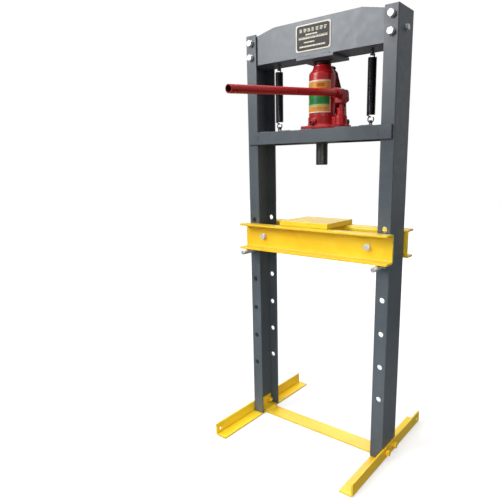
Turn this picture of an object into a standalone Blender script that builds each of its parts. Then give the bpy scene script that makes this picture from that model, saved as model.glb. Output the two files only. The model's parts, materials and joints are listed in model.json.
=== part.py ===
"""H-frame workshop press driven by a hand-pumped hydraulic bottle jack.

Axes: X across the press, Y front (-) to back (+), Z up. Origin on the floor, midway between
the two uprights. The hydraulic jack stands on a sliding bolster and pushes up against the
head beam, so the bolster and its press pin are forced down onto the bed.
"""
import math

import bmesh
import bpy
from mathutils import Matrix, Vector

# ---------------------------------------------------------------- driving dimensions (metres)
GAP = 0.0003                # clearance left between neighbouring pieces

FRAME_W = 0.494             # over the webs of the two uprights
FRAME_D = 0.094             # over the flanges of an upright
UPRIGHT_FLANGE = 0.0385
UPRIGHT_T = 0.005
UPRIGHT_BEND_R = 0.0025
UPRIGHT_TOP = 1.257
FLANGE_HOLE_X = 0.2285      # bolt and pin holes of the flanges, from the middle of the press
SHARPEST_BEND_R = 0.0008    # inside corner of a tightly pressed channel
PIN_HOLE_R = 0.0082
PIN_HOLE_Z0 = 0.1965        # lowest pair of height-setting holes
PIN_HOLE_PITCH = 0.100
PIN_HOLE_COUNT = 6
BED_HOLE = 4                # the hole pair that carries the bed

FOOT_LEN = 0.476
FOOT_H = 0.040
FOOT_LEG = 0.042
FOOT_T = 0.005
FOOT_BEND_R = 0.0057
FOOT_END_HOLE_R = 0.006
BRACE_W = 0.054
BRACE_T = 0.005
BRACE_TAB_W = 0.075

HEAD_Z = 1.170              # underside of the head beam
HEAD_TOP_END = 1.246
HEAD_TOP_MID = 1.267
HEAD_FLAT_HALF = 0.143      # half length of the level top edge
HEAD_T = 0.006
HEAD_HALF = 0.2387
END_PLATE_T = 0.005
BEARING_X = 0.061
BEARING_Y = 0.046
BEARING_T = 0.008
RING_OD_R = 0.030
RING_ID_R = 0.0255
RING_H = 0.003
NAME_W = 0.115
NAME_H = 0.071
NAME_T = 0.0015
NAME_X = -0.006
NAME_Z = 1.2195

BOLSTER_HALF = 0.241
BOLSTER_Z = 0.934
BOLSTER_H = 0.037
BOLSTER_T = 0.005
BOLSTER_TOP_T = 0.008
BOLSTER_GUIDE_X = 0.2070    # outer face of the guide plates
PRESS_PIN_R = 0.0172
PRESS_PIN_Z = 0.870         # nose of the press pin
PRESS_PIN_SPIGOT_R = 0.012

SPRING_X = 0.156
SPRING_R = 0.0105           # mean radius of the coil
SPRING_WIRE_R = 0.0016
SPRING_TURNS = 20
COIL_STEPS = 6              # straight pieces per turn
COIL_Z0 = 1.0015
COIL_Z1 = 1.1505
EYE_T = 0.003
EYE_W = 0.016
TOP_EYE_Z = 1.1625
TOP_EYE_R = 0.0035
LOW_EYE_Z = 0.980
LOW_EYE_R = 0.004
TOP_HOOK_R = 0.0065
LOW_HOOK_R = 0.009

BED_Z = 0.6043
BED_H = 0.082
BED_HALF = 0.2575
BED_FLANGE = 0.042
BED_T = 0.006
BED_BEND_R = 0.009
BED_BOLT_X = 0.184
SPACER_R = 0.014
BED_PIN_R = 0.0075
BED_PIN_Y0 = -0.110
BED_PIN_Y1 = 0.062

PLATE_T = 0.015             # arbor plate
PLATE_X0 = -0.114
PLATE_X1 = 0.058
PLATE_Y0 = -0.062
PLATE_Y1 = 0.092

JACK_Z = BOLSTER_Z + BOLSTER_H + GAP
JACK_PLATE_T = 0.010
BASE_LEFT = -0.049          # outline of the jack's sole
BASE_RIGHT = 0.084
BASE_HALF_D = 0.045
BASE_CORNER_R = 0.010
BASE_NOSE = ((0.062, BASE_HALF_D), (BASE_RIGHT, 0.026), (BASE_RIGHT, -0.022), (0.050, -BASE_HALF_D))
BASE_SINK = 0.004           # depth that the shapes on the sole reach into it
BOSS_R = 0.017              # boss that holds the pump cylinder
WEB_HALF = 0.010            # half thickness of the wall between seat and boss
WEB_START_X = 0.030
LUG_REAR = 0.0290
LUG_FRONT = 0.004
LINK_SLOT_HALF = 0.0058
LINK_SLOT_FRONT = 0.0135
PORT_R = 0.0055             # hole for the oil filler plug
SOCKET_TOP = 1.006          # top of the round seat of the jack base
SEAT_R = 0.041              # round seat that the reservoir stands on
RES_R = 0.039
RES_WALL = 0.003
RES_SIDE_TOP = 1.121        # the domed shoulder starts here
DOME_W = 0.0065
DOME_H = 0.0095
CAP_BORE_R = 0.0206
CYL_R = 0.030
CYL_BORE_R = 0.023
CYL_Z0 = 0.9853
CYL_Z1 = 1.1197
CAP_SKIRT_Z = 1.112         # lower edge of the cap's skirt inside the reservoir mouth
CAP_SKIRT_R = 0.0327
CAP_CONE_Z = 1.1325
CAP_TOP_R = 0.0247
CAP_TOP = 1.1485
RES_MOUTH_R = 0.0332
RAM_R = 0.020
RAM_FOOT = 0.992            # underside of the ram's piston
SEAL_Z = 0.998              # groove of the ram's seal
SEAL_H = 0.006
SEAL_GROOVE_R = 0.0195
PISTON_LAND_TOP = 1.011
RAM_BORE_FLOOR = 1.030
RAM_TOP = 1.149
SCREW_FOOT = 1.040
SCREW_R = 0.0132
SADDLE_R = 0.0245
SADDLE_TOP = HEAD_Z - GAP - BEARING_T - GAP

PUMP_X = 0.063              # plane of the pump, its link and the handle
PUMP_BARREL_R = 0.010       # part of the pump cylinder let into the base
PUMP_FOOT = 0.9883
PUMP_TOP = 1.0285
PUMP_BORE_FLOOR = 0.992
PUMP_R = 0.013
PUMP_BORE_R = 0.0063
PISTON_ROD_R = 0.0060
PISTON_FOOT = 0.9985
PISTON_EYE_HOLE_R = 0.0054  # leaves the pin the play that the rocking link needs
EYE_R = 0.0085              # round ends of the piston and of the socket's cheeks
PISTON_EYE = (0.0, 1.046)   # y, z of the piston pin
LINK_TOP = (0.016, 1.052)   # y, z of the pin between link and handle socket
LINK_FOOT = (0.022, 0.990)  # y, z of the pin between link and jack base
LINK_PIN_R = 0.004
LINK_END_R = 0.0062
LINK_WAIST_HALF = 0.0038    # clears the pump cylinder when the link rocks inwards
LINK_HALF_T = 0.0048
LUG_HALF = 0.0115           # half width of the lug on the jack base
PIN_HEAD_R = 0.0060
PIN_HEAD_T = 0.0020
CHEEK_IN = 0.0065
CHEEK_OUT = 0.012
SOCKET_AXIS_Z = 1.0687      # height of the handle axis above the pump
HANDLE_TILT = math.radians(5.0)
SOCKET_R = 0.0125
SOCKET_FRONT = 0.036
SOCKET_REAR = 0.006
YOKE_FRONT = -0.0145        # wall that closes the front between the cheeks
YOKE_WALL = 0.003
YOKE_FOOT = 1.0405
YOKE_BACK = (0.0110, SOCKET_AXIS_Z - 0.003)   # y, z of the centre of its rounded back
YOKE_BACK_R = 0.012
HINGE_EYE_R = 0.0075
HANDLE_START = -0.0026      # inner end of the tube, along the handle axis
HANDLE_R = 0.0095
HANDLE_BORE_R = 0.0075
HANDLE_LEN = 0.4735

PLUG_Z = 1.098              # height of the oil filler plug
VALVE_X = -0.004
VALVE_Z = 0.9885
VALVE_STEM_R = 0.004
VALVE_STEM_END = 0.0370     # these four are distances in front of the jack's axis
VALVE_BORE_END = 0.0365
VALVE_BOSS_REAR = 0.033
VALVE_BOSS_FRONT = 0.047
VALVE_BOSS_R = 0.0100
VALVE_HEAD_R = 0.0062
VALVE_HEAD_H = 0.0060
VALVE_SLOT_HALF = 0.0016
VALVE_SLOT_DEPTH = 0.0035
STRAP_AZIMUTH = math.radians(38.0)
STRAP_T = 0.003
STRAP_W = 0.012
STRAP_UPPER = ((0.0284, 1.1475), (0.0352, 1.1335), (0.0418, 1.1285), (0.0432, 1.1200))
STRAP_R = 0.0530            # upright part of the strap, from the jack's axis
STRAP_SHOULDER_Z = 1.085
STRAP_TOE_R = 0.0620        # end of the strap's foot
WEB_CREST = ((0.0356, 1.1315), (0.0376, 1.1285), (0.0391, 1.1255))   # web above the dome
WEB_PLAY = 0.0005
WEB_SEAT_R = 0.0425         # where it passes the seat of the jack base
WEB_FOOT_R = 0.0475
WEB_FLARE_Z = 0.992

BOLT_CLEAR = 0.0011         # radial play of a bolt in its hole
HEAD_BOLT_Z = (1.193, 1.234)
HEAD_BOLT_R = 0.006
HEAD_BOLT_FLATS = 0.0165    # across the flats of head and nut
SIDE_BOLT_Z = 1.2080
SIDE_BOLT_R = 0.0045
SIDE_BOLT_FLATS = 0.0135
FOOT_BOLT_Y = (-0.0255, 0.0255)
FOOT_BOLT_Z = 0.0217
FOOT_BOLT_R = 0.006
FOOT_BOLT_FLATS = 0.0165
BED_BOLT_R = 0.006
BED_BOLT_FLATS = 0.017

# ---------------------------------------------------------------- materials
PALETTE = {
    "slate_paint": ((0.085, 0.100, 0.115), 0.45, 0.0),
    "head_paint": ((0.150, 0.165, 0.180), 0.40, 0.0),
    "yellow_paint": ((0.90, 0.52, 0.02), 0.40, 0.0),
    "red_paint": ((0.42, 0.012, 0.018), 0.30, 0.0),
    "zinc": ((0.62, 0.63, 0.64), 0.30, 1.0),
    "steel": ((0.28, 0.29, 0.27), 0.40, 1.0),
    "ground_steel": ((0.55, 0.55, 0.54), 0.22, 1.0),
    "black_spring": ((0.020, 0.020, 0.022), 0.35, 0.6),
    "bronze_plate": ((0.13, 0.08, 0.03), 0.35, 0.7),
    "rubber": ((0.015, 0.015, 0.015), 0.75, 0.0),
}


def make_material(name):
    colour, roughness, metallic = PALETTE[name]
    material = bpy.data.materials.new(name)
    material.use_nodes = True
    shader = material.node_tree.nodes["Principled BSDF"]
    shader.inputs["Base Color"].default_value = (*colour, 1.0)
    shader.inputs["Roughness"].default_value = roughness
    shader.inputs["Metallic"].default_value = metallic
    return material


# ---------------------------------------------------------------- shape helpers
AXES = {
    "X": Matrix(((0, 0, 1), (1, 0, 0), (0, 1, 0))),    # outline (y, z), extruded along x
    "Y": Matrix(((1, 0, 0), (0, 0, -1), (0, 1, 0))),   # outline (x, z), extruded along -y
    "Z": Matrix.Identity(3),                           # outline (x, y), extruded along z
}


def finish(bm, name, material, smooth=False):
    """Turn a bmesh into a named object with its faces pointing out."""
    bmesh.ops.recalc_face_normals(bm, faces=bm.faces[:])
    mesh = bpy.data.meshes.new(name)
    bm.to_mesh(mesh)
    bm.free()
    obj = bpy.data.objects.new(name, mesh)
    bpy.context.scene.collection.objects.link(obj)
    if material:
        mesh.materials.append(MATERIALS[material])
    if smooth:
        mesh.shade_smooth()
        mesh.set_sharp_from_angle(angle=math.radians(32.0))
    return obj


def prism(name, outline, axis, low, high, material=None):
    """Extrude a closed outline along one axis between two planes."""
    turn = AXES[axis]
    sign = -1.0 if axis == "Y" else 1.0
    bm = bmesh.new()
    start = [bm.verts.new(turn @ Vector((u, v, sign * low))) for u, v in outline]
    face = bm.faces.new(start)
    grown = bmesh.ops.extrude_face_region(bm, geom=[face])
    moved = [item for item in grown["geom"] if isinstance(item, bmesh.types.BMVert)]
    bmesh.ops.translate(bm, verts=moved, vec=turn @ Vector((0, 0, sign * (high - low))))
    return finish(bm, name, material)


def box(name, x, y, z, material=None):
    """Box between pairs of limits."""
    outline = [(x[0], y[0]), (x[1], y[0]), (x[1], y[1]), (x[0], y[1])]
    return prism(name, outline, "Z", z[0], z[1], material)


def turned(name, profile, centre, direction, material=None, segments=24):
    """Turn a profile of (radius, height) about an axis through centre along direction.

    A profile that starts and ends on the axis gives a solid; any other is closed to a ring.
    """
    bm = bmesh.new()
    rings = []
    for radius, height in profile:
        if radius < 1e-6:
            rings.append([bm.verts.new((0, 0, height))])
        else:
            angles = [2 * math.pi * k / segments for k in range(segments)]
            rings.append([bm.verts.new((radius * math.cos(a), radius * math.sin(a), height))
                          for a in angles])
    pairs = list(zip(rings, rings[1:]))
    if len(rings[0]) > 1:
        pairs.append((rings[-1], rings[0]))
    for lower, upper in pairs:
        for k in range(segments):
            n = (k + 1) % segments
            if len(lower) == 1 and len(upper) == 1:
                continue
            if len(lower) == 1:
                bm.faces.new((lower[0], upper[n], upper[k]))
            elif len(upper) == 1:
                bm.faces.new((lower[k], lower[n], upper[0]))
            else:
                bm.faces.new((lower[k], lower[n], upper[n], upper[k]))
    aim = Vector(direction).normalized().to_track_quat("Z", "Y").to_matrix().to_4x4()
    bm.transform(Matrix.Translation(Vector(centre)) @ aim)
    return finish(bm, name, material, smooth=True)


def rod(name, centre, direction, radius, low, high, material=None, segments=16):
    """Plain cylinder along direction, from low to high measured from centre."""
    profile = [(0, low), (radius, low), (radius, high), (0, high)]
    return turned(name, profile, centre, direction, material, segments)


def combine(obj, tools, operation="DIFFERENCE"):
    """Apply exact Booleans of one object with several tool objects, which are then removed."""
    for tool in tools:
        modifier = obj.modifiers.new("boolean", "BOOLEAN")
        modifier.operation = operation
        modifier.solver = "EXACT"
        modifier.object = tool
    depsgraph = bpy.context.evaluated_depsgraph_get()
    mesh = bpy.data.meshes.new_from_object(obj.evaluated_get(depsgraph))
    obj.modifiers.clear()
    old = obj.data
    obj.data = mesh
    mesh.name = obj.name
    bpy.data.meshes.remove(old)
    for tool in tools:
        bpy.data.objects.remove(tool)
    return obj


def set_origin(obj, point):
    """Move an object's origin to a point on its joint's axis, leaving its shape in place."""
    obj.data.transform(Matrix.Translation(-Vector(point)))
    obj.location = point


def drill(obj, holes, segments=16):
    """Cut round holes, each (centre, direction, radius, half length)."""
    tools = [rod("drill", centre, direction, radius, -half, half, segments=segments)
             for centre, direction, radius, half in holes]
    return combine(obj, tools)


def arc(centre, radius, start, end, steps):
    """Points of an arc, angles in degrees, both ends included."""
    points = []
    for k in range(steps + 1):
        angle = math.radians(start + (end - start) * k / steps)
        points.append((centre[0] + radius * math.cos(angle), centre[1] + radius * math.sin(angle)))
    return points


def bent_channel(depth, flange, thick, bend, steps=2):
    """Outline of a bent C: web on v = 0, flange tips at v = flange, centred on u = 0."""
    half = depth / 2
    outer = [(-half, flange)] + arc((-half + bend, bend), bend, 180, 270, steps)
    outer += arc((half - bend, bend), bend, 270, 360, steps) + [(half, flange)]
    inner_bend = max(bend - thick, SHARPEST_BEND_R)
    near = half - thick - inner_bend
    deep = thick + inner_bend
    inner = [(half - thick, flange)] + arc((near, deep), inner_bend, 360, 270, steps)
    inner += arc((-near, deep), inner_bend, 270, 180, steps) + [(-half + thick, flange)]
    return outer + inner


def bent_angle(leg_u, leg_v, thick, bend, steps=2):
    """Outline of a bent L with its outer corner at (0, 0)."""
    centre = (bend, bend)
    outer = [(0, leg_v)] + arc(centre, bend, 180, 270, steps) + [(leg_u, 0)]
    inner = [(leg_u, thick)] + arc(centre, bend - thick, 270, 180, steps) + [(thick, leg_v)]
    return outer + inner


def round_rect(x0, x1, y0, y1, radius, steps=3):
    """Outline of a rectangle with rounded corners."""
    points = arc((x1 - radius, y1 - radius), radius, 0, 90, steps)
    points += arc((x0 + radius, y1 - radius), radius, 90, 180, steps)
    points += arc((x0 + radius, y0 + radius), radius, 180, 270, steps)
    points += arc((x1 - radius, y0 + radius), radius, 270, 360, steps)
    return points


def ribbon(path, thick):
    """Outline of a strip of constant thickness that follows a path with mitred bends."""
    points = [Vector(p) for p in path]
    left, right = [], []
    for k, point in enumerate(points):
        before = (point - points[k - 1]).normalized() if k else (points[1] - point).normalized()
        after = (points[k + 1] - point).normalized() if k < len(points) - 1 else before
        bisector = (before + after).normalized()
        normal = Vector((-bisector.y, bisector.x))
        reach = thick / 2 / max(0.3, bisector.dot(before))
        left.append(tuple(point + normal * reach))
        right.append(tuple(point - normal * reach))
    return left + right[::-1]


def swept(name, path, radius, material, sides=4):
    """Solid wire along a path of points."""
    points = [Vector(p) for p in path]
    bm = bmesh.new()
    rings = []
    side = None
    for k, point in enumerate(points):
        before = points[max(k - 1, 0)]
        after = points[min(k + 1, len(points) - 1)]
        forward = (after - before).normalized()
        if side is None:
            side = forward.orthogonal().normalized()
        side = (side - forward * side.dot(forward)).normalized()
        up = forward.cross(side)
        ring = []
        for s in range(sides):
            angle = 2 * math.pi * (s + 0.5) / sides
            offset = side * math.cos(angle) + up * math.sin(angle)
            ring.append(bm.verts.new(point + offset * radius))
        rings.append(ring)
    for lower, upper in zip(rings, rings[1:]):
        for s in range(sides):
            n = (s + 1) % sides
            bm.faces.new((lower[s], lower[n], upper[n], upper[s]))
    bm.faces.new(rings[0][::-1])
    bm.faces.new(rings[-1])
    return finish(bm, name, material)


def hex_bolt(name, head_face, direction, shank_r, flats, grip, material="zinc"):
    """Bolt, washers and nut as one solid turned from twelve-sided rings.

    head_face is the point on the clamped surface under the head, direction points from the
    head into the work, grip is the thickness held between head and nut. A ring marked True
    is a hexagon: every second corner is pulled in to the middle of a flat.
    """
    corner = flats / math.sqrt(3)
    washer_r = flats * 0.575
    washer_h = 0.002
    head_h = shank_r * 1.3
    under = -GAP - washer_h
    over = grip + GAP + washer_h
    tail = over + head_h + 0.003
    rings = [
        (0, under - head_h, False), (corner, under - head_h, True), (corner, under, True),
        (washer_r, under, False), (washer_r, -GAP, False),
        (shank_r, -GAP, False), (shank_r, grip + GAP, False),
        (washer_r, grip + GAP, False), (washer_r, over, False),
        (corner, over, True), (corner, over + head_h, True), (shank_r, over + head_h, False),
        (shank_r, tail, False), (0, tail, False),
    ]
    bolt = turned(name, [(r, h) for r, h, _ in rings], (0, 0, 0), (0, 0, 1), material, 12)
    pull = math.cos(math.pi / 6)
    index = 0
    for radius, _, hexagonal in rings:
        count = 1 if radius == 0 else 12
        for k in range(count):
            if hexagonal and k % 2:
                vertex = bolt.data.vertices[index + k]
                vertex.co.x *= pull
                vertex.co.y *= pull
        index += count
    aim = Vector(direction).normalized().to_track_quat("Z", "Y").to_matrix().to_4x4()
    bolt.data.transform(Matrix.Translation(Vector(head_face)) @ aim)
    return bolt


def pivot_pin(name, centre, half, radius, head_r, head_t, material="zinc"):
    """Pin along X with a small head at each end, outside the pieces it joins."""
    out = half + GAP
    profile = [(0, -out - head_t), (head_r, -out - head_t), (head_r, -out), (radius, -out)]
    profile += [(radius, out), (head_r, out), (head_r, out + head_t), (0, out + head_t)]
    return turned(name, profile, centre, (1, 0, 0), material, 12)


# ---------------------------------------------------------------- frame
def build_uprights():
    web = FRAME_W / 2
    half = FRAME_D / 2
    for side, word in ((-1, "left"), (1, "right")):
        outline = [(side * (web - v), u)
                   for u, v in bent_channel(FRAME_D, UPRIGHT_FLANGE, UPRIGHT_T, UPRIGHT_BEND_R)]
        post = prism("upright_" + word, outline, "Z", FOOT_T + GAP, UPRIGHT_TOP, "slate_paint")
        holes = []
        for k in range(PIN_HOLE_COUNT):
            z = PIN_HOLE_Z0 + k * PIN_HOLE_PITCH
            holes.append(((side * FLANGE_HOLE_X, 0, z), (0, 1, 0), PIN_HOLE_R, FRAME_D))
        for z in HEAD_BOLT_Z:
            holes.append(((side * FLANGE_HOLE_X, 0, z), (0, 1, 0), HEAD_BOLT_R + BOLT_CLEAR, FRAME_D))
        holes.append(((side * web, 0, SIDE_BOLT_Z), (1, 0, 0), SIDE_BOLT_R + BOLT_CLEAR, 0.012))
        for y in FOOT_BOLT_Y:
            holes.append(((side * web, y, FOOT_BOLT_Z), (1, 0, 0), FOOT_BOLT_R + BOLT_CLEAR, 0.012))
        drill(post, holes, 12)
    for side, word in ((-1, "left"), (1, "right")):
        outline = [(side * (web + GAP + FOOT_T - u), v)
                   for u, v in bent_angle(FOOT_LEG, FOOT_H, FOOT_T, FOOT_BEND_R)]
        foot = prism("foot_" + word, outline, "Y", -FOOT_LEN / 2, FOOT_LEN / 2, "yellow_paint")
        holes = [((side * web, y, FOOT_BOLT_Z), (1, 0, 0), FOOT_BOLT_R + BOLT_CLEAR, 0.012)
                 for y in FOOT_BOLT_Y]
        holes.append(((side * web, side * (FOOT_LEN / 2 - 0.018), FOOT_BOLT_Z - 0.004), (1, 0, 0),
                      FOOT_END_HOLE_R, 0.012))
        drill(foot, holes, 12)
        for y in FOOT_BOLT_Y:
            place = "front" if y < 0 else "rear"
            face = (side * (web + GAP + FOOT_T), y, FOOT_BOLT_Z)
            grip = FOOT_T + GAP + UPRIGHT_T + GAP + BRACE_T
            hex_bolt("foot_bolt_%s_%s" % (word, place), face, (-side, 0, 0), FOOT_BOLT_R,
                     FOOT_BOLT_FLATS, grip)


def build_brace():
    """Flat bar on the floor, stepped up over the foot legs and bent up against the webs."""
    tab_x = FRAME_W / 2 - UPRIGHT_T - GAP - BRACE_T / 2
    low = BRACE_T / 2
    high = FOOT_T + GAP + BRACE_T / 2
    right = [(0.2015, low), (0.2085, high), (tab_x, high), (tab_x, FOOT_H)]
    path = [(-x, z) for x, z in right[::-1]] + right
    bar = prism("foot_brace", ribbon(path, BRACE_T), "Y", -BRACE_W / 2, BRACE_W / 2, "yellow_paint")
    tabs = []
    for side in (-1, 1):
        limits = sorted((side * (tab_x - BRACE_T / 2), side * (tab_x + BRACE_T / 2)))
        tabs.append(box("tab", limits, (-BRACE_TAB_W / 2, BRACE_TAB_W / 2), (high - BRACE_T / 2, FOOT_H)))
    combine(bar, tabs, "UNION")
    drill(bar, [((side * tab_x, y, FOOT_BOLT_Z), (1, 0, 0), FOOT_BOLT_R + BOLT_CLEAR, 0.012)
                for side in (-1, 1) for y in FOOT_BOLT_Y], 8)


def build_head():
    half = FRAME_D / 2
    front = half - UPRIGHT_T - GAP          # outer face of the front and rear plates
    inside = front - HEAD_T - GAP           # room between the two plates
    outline = [(-HEAD_HALF, HEAD_Z), (HEAD_HALF, HEAD_Z), (HEAD_HALF, HEAD_TOP_END),
               (HEAD_FLAT_HALF, HEAD_TOP_MID), (-HEAD_FLAT_HALF, HEAD_TOP_MID),
               (-HEAD_HALF, HEAD_TOP_END)]
    for name, low, high in (("head_front_plate", -front, -front + HEAD_T),
                            ("head_rear_plate", front - HEAD_T, front)):
        plate = prism(name, outline, "Y", low, high, "head_paint")
        drill(plate, [((side * FLANGE_HOLE_X, 0, z), (0, 1, 0), HEAD_BOLT_R + BOLT_CLEAR, FRAME_D)
                      for side in (-1, 1) for z in HEAD_BOLT_Z], 12)
    web_in = FRAME_W / 2 - UPRIGHT_T - GAP
    for side, word in ((-1, "left"), (1, "right")):
        limits = sorted((side * (web_in - END_PLATE_T), side * web_in))
        plate = box("head_end_plate_" + word, limits, (-inside, inside),
                    (HEAD_Z + GAP, HEAD_TOP_END - 0.004), "head_paint")
        drill(plate, [((side * web_in, 0, SIDE_BOLT_Z), (1, 0, 0), SIDE_BOLT_R + BOLT_CLEAR, 0.02)], 12)
        face = (side * FRAME_W / 2, 0, SIDE_BOLT_Z)
        grip = UPRIGHT_T + GAP + END_PLATE_T
        hex_bolt("head_side_bolt_" + word, face, (-side, 0, 0), SIDE_BOLT_R, SIDE_BOLT_FLATS, grip)
        for z, place in zip(HEAD_BOLT_Z, ("lower", "upper")):
            hex_bolt("head_bolt_%s_%s" % (word, place), (side * FLANGE_HOLE_X, -half, z), (0, 1, 0),
                     HEAD_BOLT_R, HEAD_BOLT_FLATS, FRAME_D)
    floor_half = web_in - END_PLATE_T - GAP
    floor = box("head_bottom_plate", (-floor_half, floor_half), (-inside, inside),
                (HEAD_Z + GAP, HEAD_Z + GAP + HEAD_T), "head_paint")
    eyes = []
    for side in (-1, 1):
        eye = round_rect(-EYE_W / 2, EYE_W / 2, TOP_EYE_Z - 0.0085, HEAD_Z + 2 * GAP + 0.002, 0.002, 1)
        limits = (side * SPRING_X - EYE_T / 2, side * SPRING_X + EYE_T / 2)
        eyes.append(prism("eye", eye, "X", limits[0], limits[1]))
    combine(floor, eyes, "UNION")
    drill(floor, [((side * SPRING_X, 0, TOP_EYE_Z), (1, 0, 0), TOP_EYE_R, 0.01) for side in (-1, 1)], 12)

    top = HEAD_Z - GAP
    low = top - BEARING_T
    bearing = box("jack_bearing_plate", (-BEARING_X, BEARING_X), (-BEARING_Y, BEARING_Y), (low, top),
                  "slate_paint")
    ring = [(RING_ID_R, low - RING_H), (RING_OD_R, low - RING_H), (RING_OD_R, low + 0.002),
            (RING_ID_R, low + 0.002)]
    combine(bearing, [turned("ring", ring, (0, 0, 0), (0, 0, 1), segments=24)], "UNION")

    name_outline = round_rect(NAME_X - NAME_W / 2, NAME_X + NAME_W / 2,
                              NAME_Z - NAME_H / 2, NAME_Z + NAME_H / 2, 0.006)
    prism("nameplate", name_outline, "Y", -front - GAP - NAME_T, -front - GAP, "bronze_plate")


# ---------------------------------------------------------------- bolster and press pin
def build_bolster():
    half = FRAME_D / 2
    near = half + 0.0005                    # inner face of the front and rear plates
    top = BOLSTER_Z + BOLSTER_H
    for name, low, high in (("bolster_front_plate", -near - BOLSTER_T, -near),
                            ("bolster_rear_plate", near, near + BOLSTER_T)):
        box(name, (-BOLSTER_HALF, BOLSTER_HALF), (low, high), (BOLSTER_Z, top), "slate_paint")
    inside = near - GAP
    guide_in = BOLSTER_GUIDE_X - BOLSTER_T
    for side, word in ((-1, "left"), (1, "right")):
        limits = sorted((side * guide_in, side * BOLSTER_GUIDE_X))
        box("bolster_guide_" + word, limits, (-inside, inside), (BOLSTER_Z, top), "slate_paint")
    deck = box("bolster_top_plate", (-guide_in + GAP, guide_in - GAP), (-inside, inside),
               (top - BOLSTER_TOP_T, top), "slate_paint")
    eyes = []
    for side in (-1, 1):
        eye = round_rect(-EYE_W / 2, EYE_W / 2, top - 0.002, LOW_EYE_Z + 0.0085, 0.002, 1)
        limits = (side * SPRING_X - EYE_T / 2, side * SPRING_X + EYE_T / 2)
        eyes.append(prism("eye", eye, "X", limits[0], limits[1]))
    combine(deck, eyes, "UNION")
    drill(deck, [((side * SPRING_X, 0, LOW_EYE_Z), (1, 0, 0), LOW_EYE_R, 0.01) for side in (-1, 1)], 12)
    shoe = box("bolster_bottom_plate", (-0.060, 0.060), (-inside, inside),
               (BOLSTER_Z, BOLSTER_Z + BOLSTER_TOP_T), "slate_paint")
    drill(shoe, [((0, 0, BOLSTER_Z), (0, 0, 1), PRESS_PIN_SPIGOT_R + GAP, 0.02)], 20)
    shoulder = BOLSTER_Z - GAP
    tip = top - BOLSTER_TOP_T - GAP
    profile = [(0, PRESS_PIN_Z), (PRESS_PIN_R - 0.0015, PRESS_PIN_Z), (PRESS_PIN_R, PRESS_PIN_Z + 0.0015),
               (PRESS_PIN_R, shoulder), (PRESS_PIN_SPIGOT_R, shoulder), (PRESS_PIN_SPIGOT_R, tip), (0, tip)]
    turned("press_pin", profile, (0, 0, 0), (0, 0, 1), "steel", 28)


def spring_path(x):
    """Open hook, close-wound coil and open hook of one return spring, bottom to top."""
    points = []
    low_mid = LOW_EYE_Z + LOW_EYE_R - SPRING_WIRE_R - GAP + LOW_HOOK_R
    for u, v in arc((0, low_mid), LOW_HOOK_R, 15, -270, 12):
        points.append((x + u, 0, v))
    steps = SPRING_TURNS * COIL_STEPS
    for k in range(steps + 1):
        angle = math.pi / 2 + 2 * math.pi * k / COIL_STEPS
        z = COIL_Z0 + 0.0015 + (COIL_Z1 - COIL_Z0 - 0.003) * k / steps
        points.append((x + SPRING_R * math.cos(angle), SPRING_R * math.sin(angle), z))
    top_mid = TOP_EYE_Z - TOP_EYE_R + SPRING_WIRE_R + GAP - TOP_HOOK_R
    for u, v in arc((0, top_mid), TOP_HOOK_R, -90, 200, 10):
        points.append((x + u, 0, v))
    return points


def build_springs():
    for side, word in ((-1, "left"), (1, "right")):
        swept("return_spring_" + word, spring_path(side * SPRING_X), SPRING_WIRE_R, "black_spring")


# ---------------------------------------------------------------- bed
def build_bed():
    face = FRAME_D / 2 + 0.0005
    mid = BED_Z + BED_H / 2
    shape = bent_channel(BED_H, BED_FLANGE, BED_T, BED_BEND_R)
    for side, word in ((-1, "front"), (1, "rear")):
        outline = [(side * (face + v), mid + u) for u, v in shape]
        rail = prism("bed_%s_channel" % word, outline, "X", -BED_HALF, BED_HALF, "yellow_paint")
        drill(rail, [((s * BED_BOLT_X, side * face, mid), (0, 1, 0), BED_BOLT_R + BOLT_CLEAR, 0.02)
                     for s in (-1, 1)], 12)
    for side, word in ((-1, "left"), (1, "right")):
        reach = face - GAP
        tube = [(BED_BOLT_R + BOLT_CLEAR, -reach), (SPACER_R, -reach), (SPACER_R, reach),
                (BED_BOLT_R + BOLT_CLEAR, reach)]
        turned("bed_spacer_" + word, tube, (side * BED_BOLT_X, 0, mid), (0, 1, 0), "yellow_paint", 16)
        hex_bolt("bed_bolt_" + word, (side * BED_BOLT_X, -face - BED_T, mid), (0, 1, 0), BED_BOLT_R,
                 BED_BOLT_FLATS, 2 * (face + BED_T))
        x = side * FLANGE_HOLE_X
        z = PIN_HOLE_Z0 + BED_HOLE * PIN_HOLE_PITCH
        profile = [(0, BED_PIN_Y0), (BED_PIN_R - 0.0015, BED_PIN_Y0), (BED_PIN_R, BED_PIN_Y0 + 0.0015),
                   (BED_PIN_R, BED_PIN_Y1 - 0.0015), (BED_PIN_R - 0.0015, BED_PIN_Y1), (0, BED_PIN_Y1)]
        turned("bed_pin_" + word, profile, (x, 0, z), (0, 1, 0), "zinc", 16)
    low = BED_Z + BED_H + GAP
    box("arbor_plate", (PLATE_X0, PLATE_X1), (PLATE_Y0, PLATE_Y1), (low, low + PLATE_T), "yellow_paint")


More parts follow.
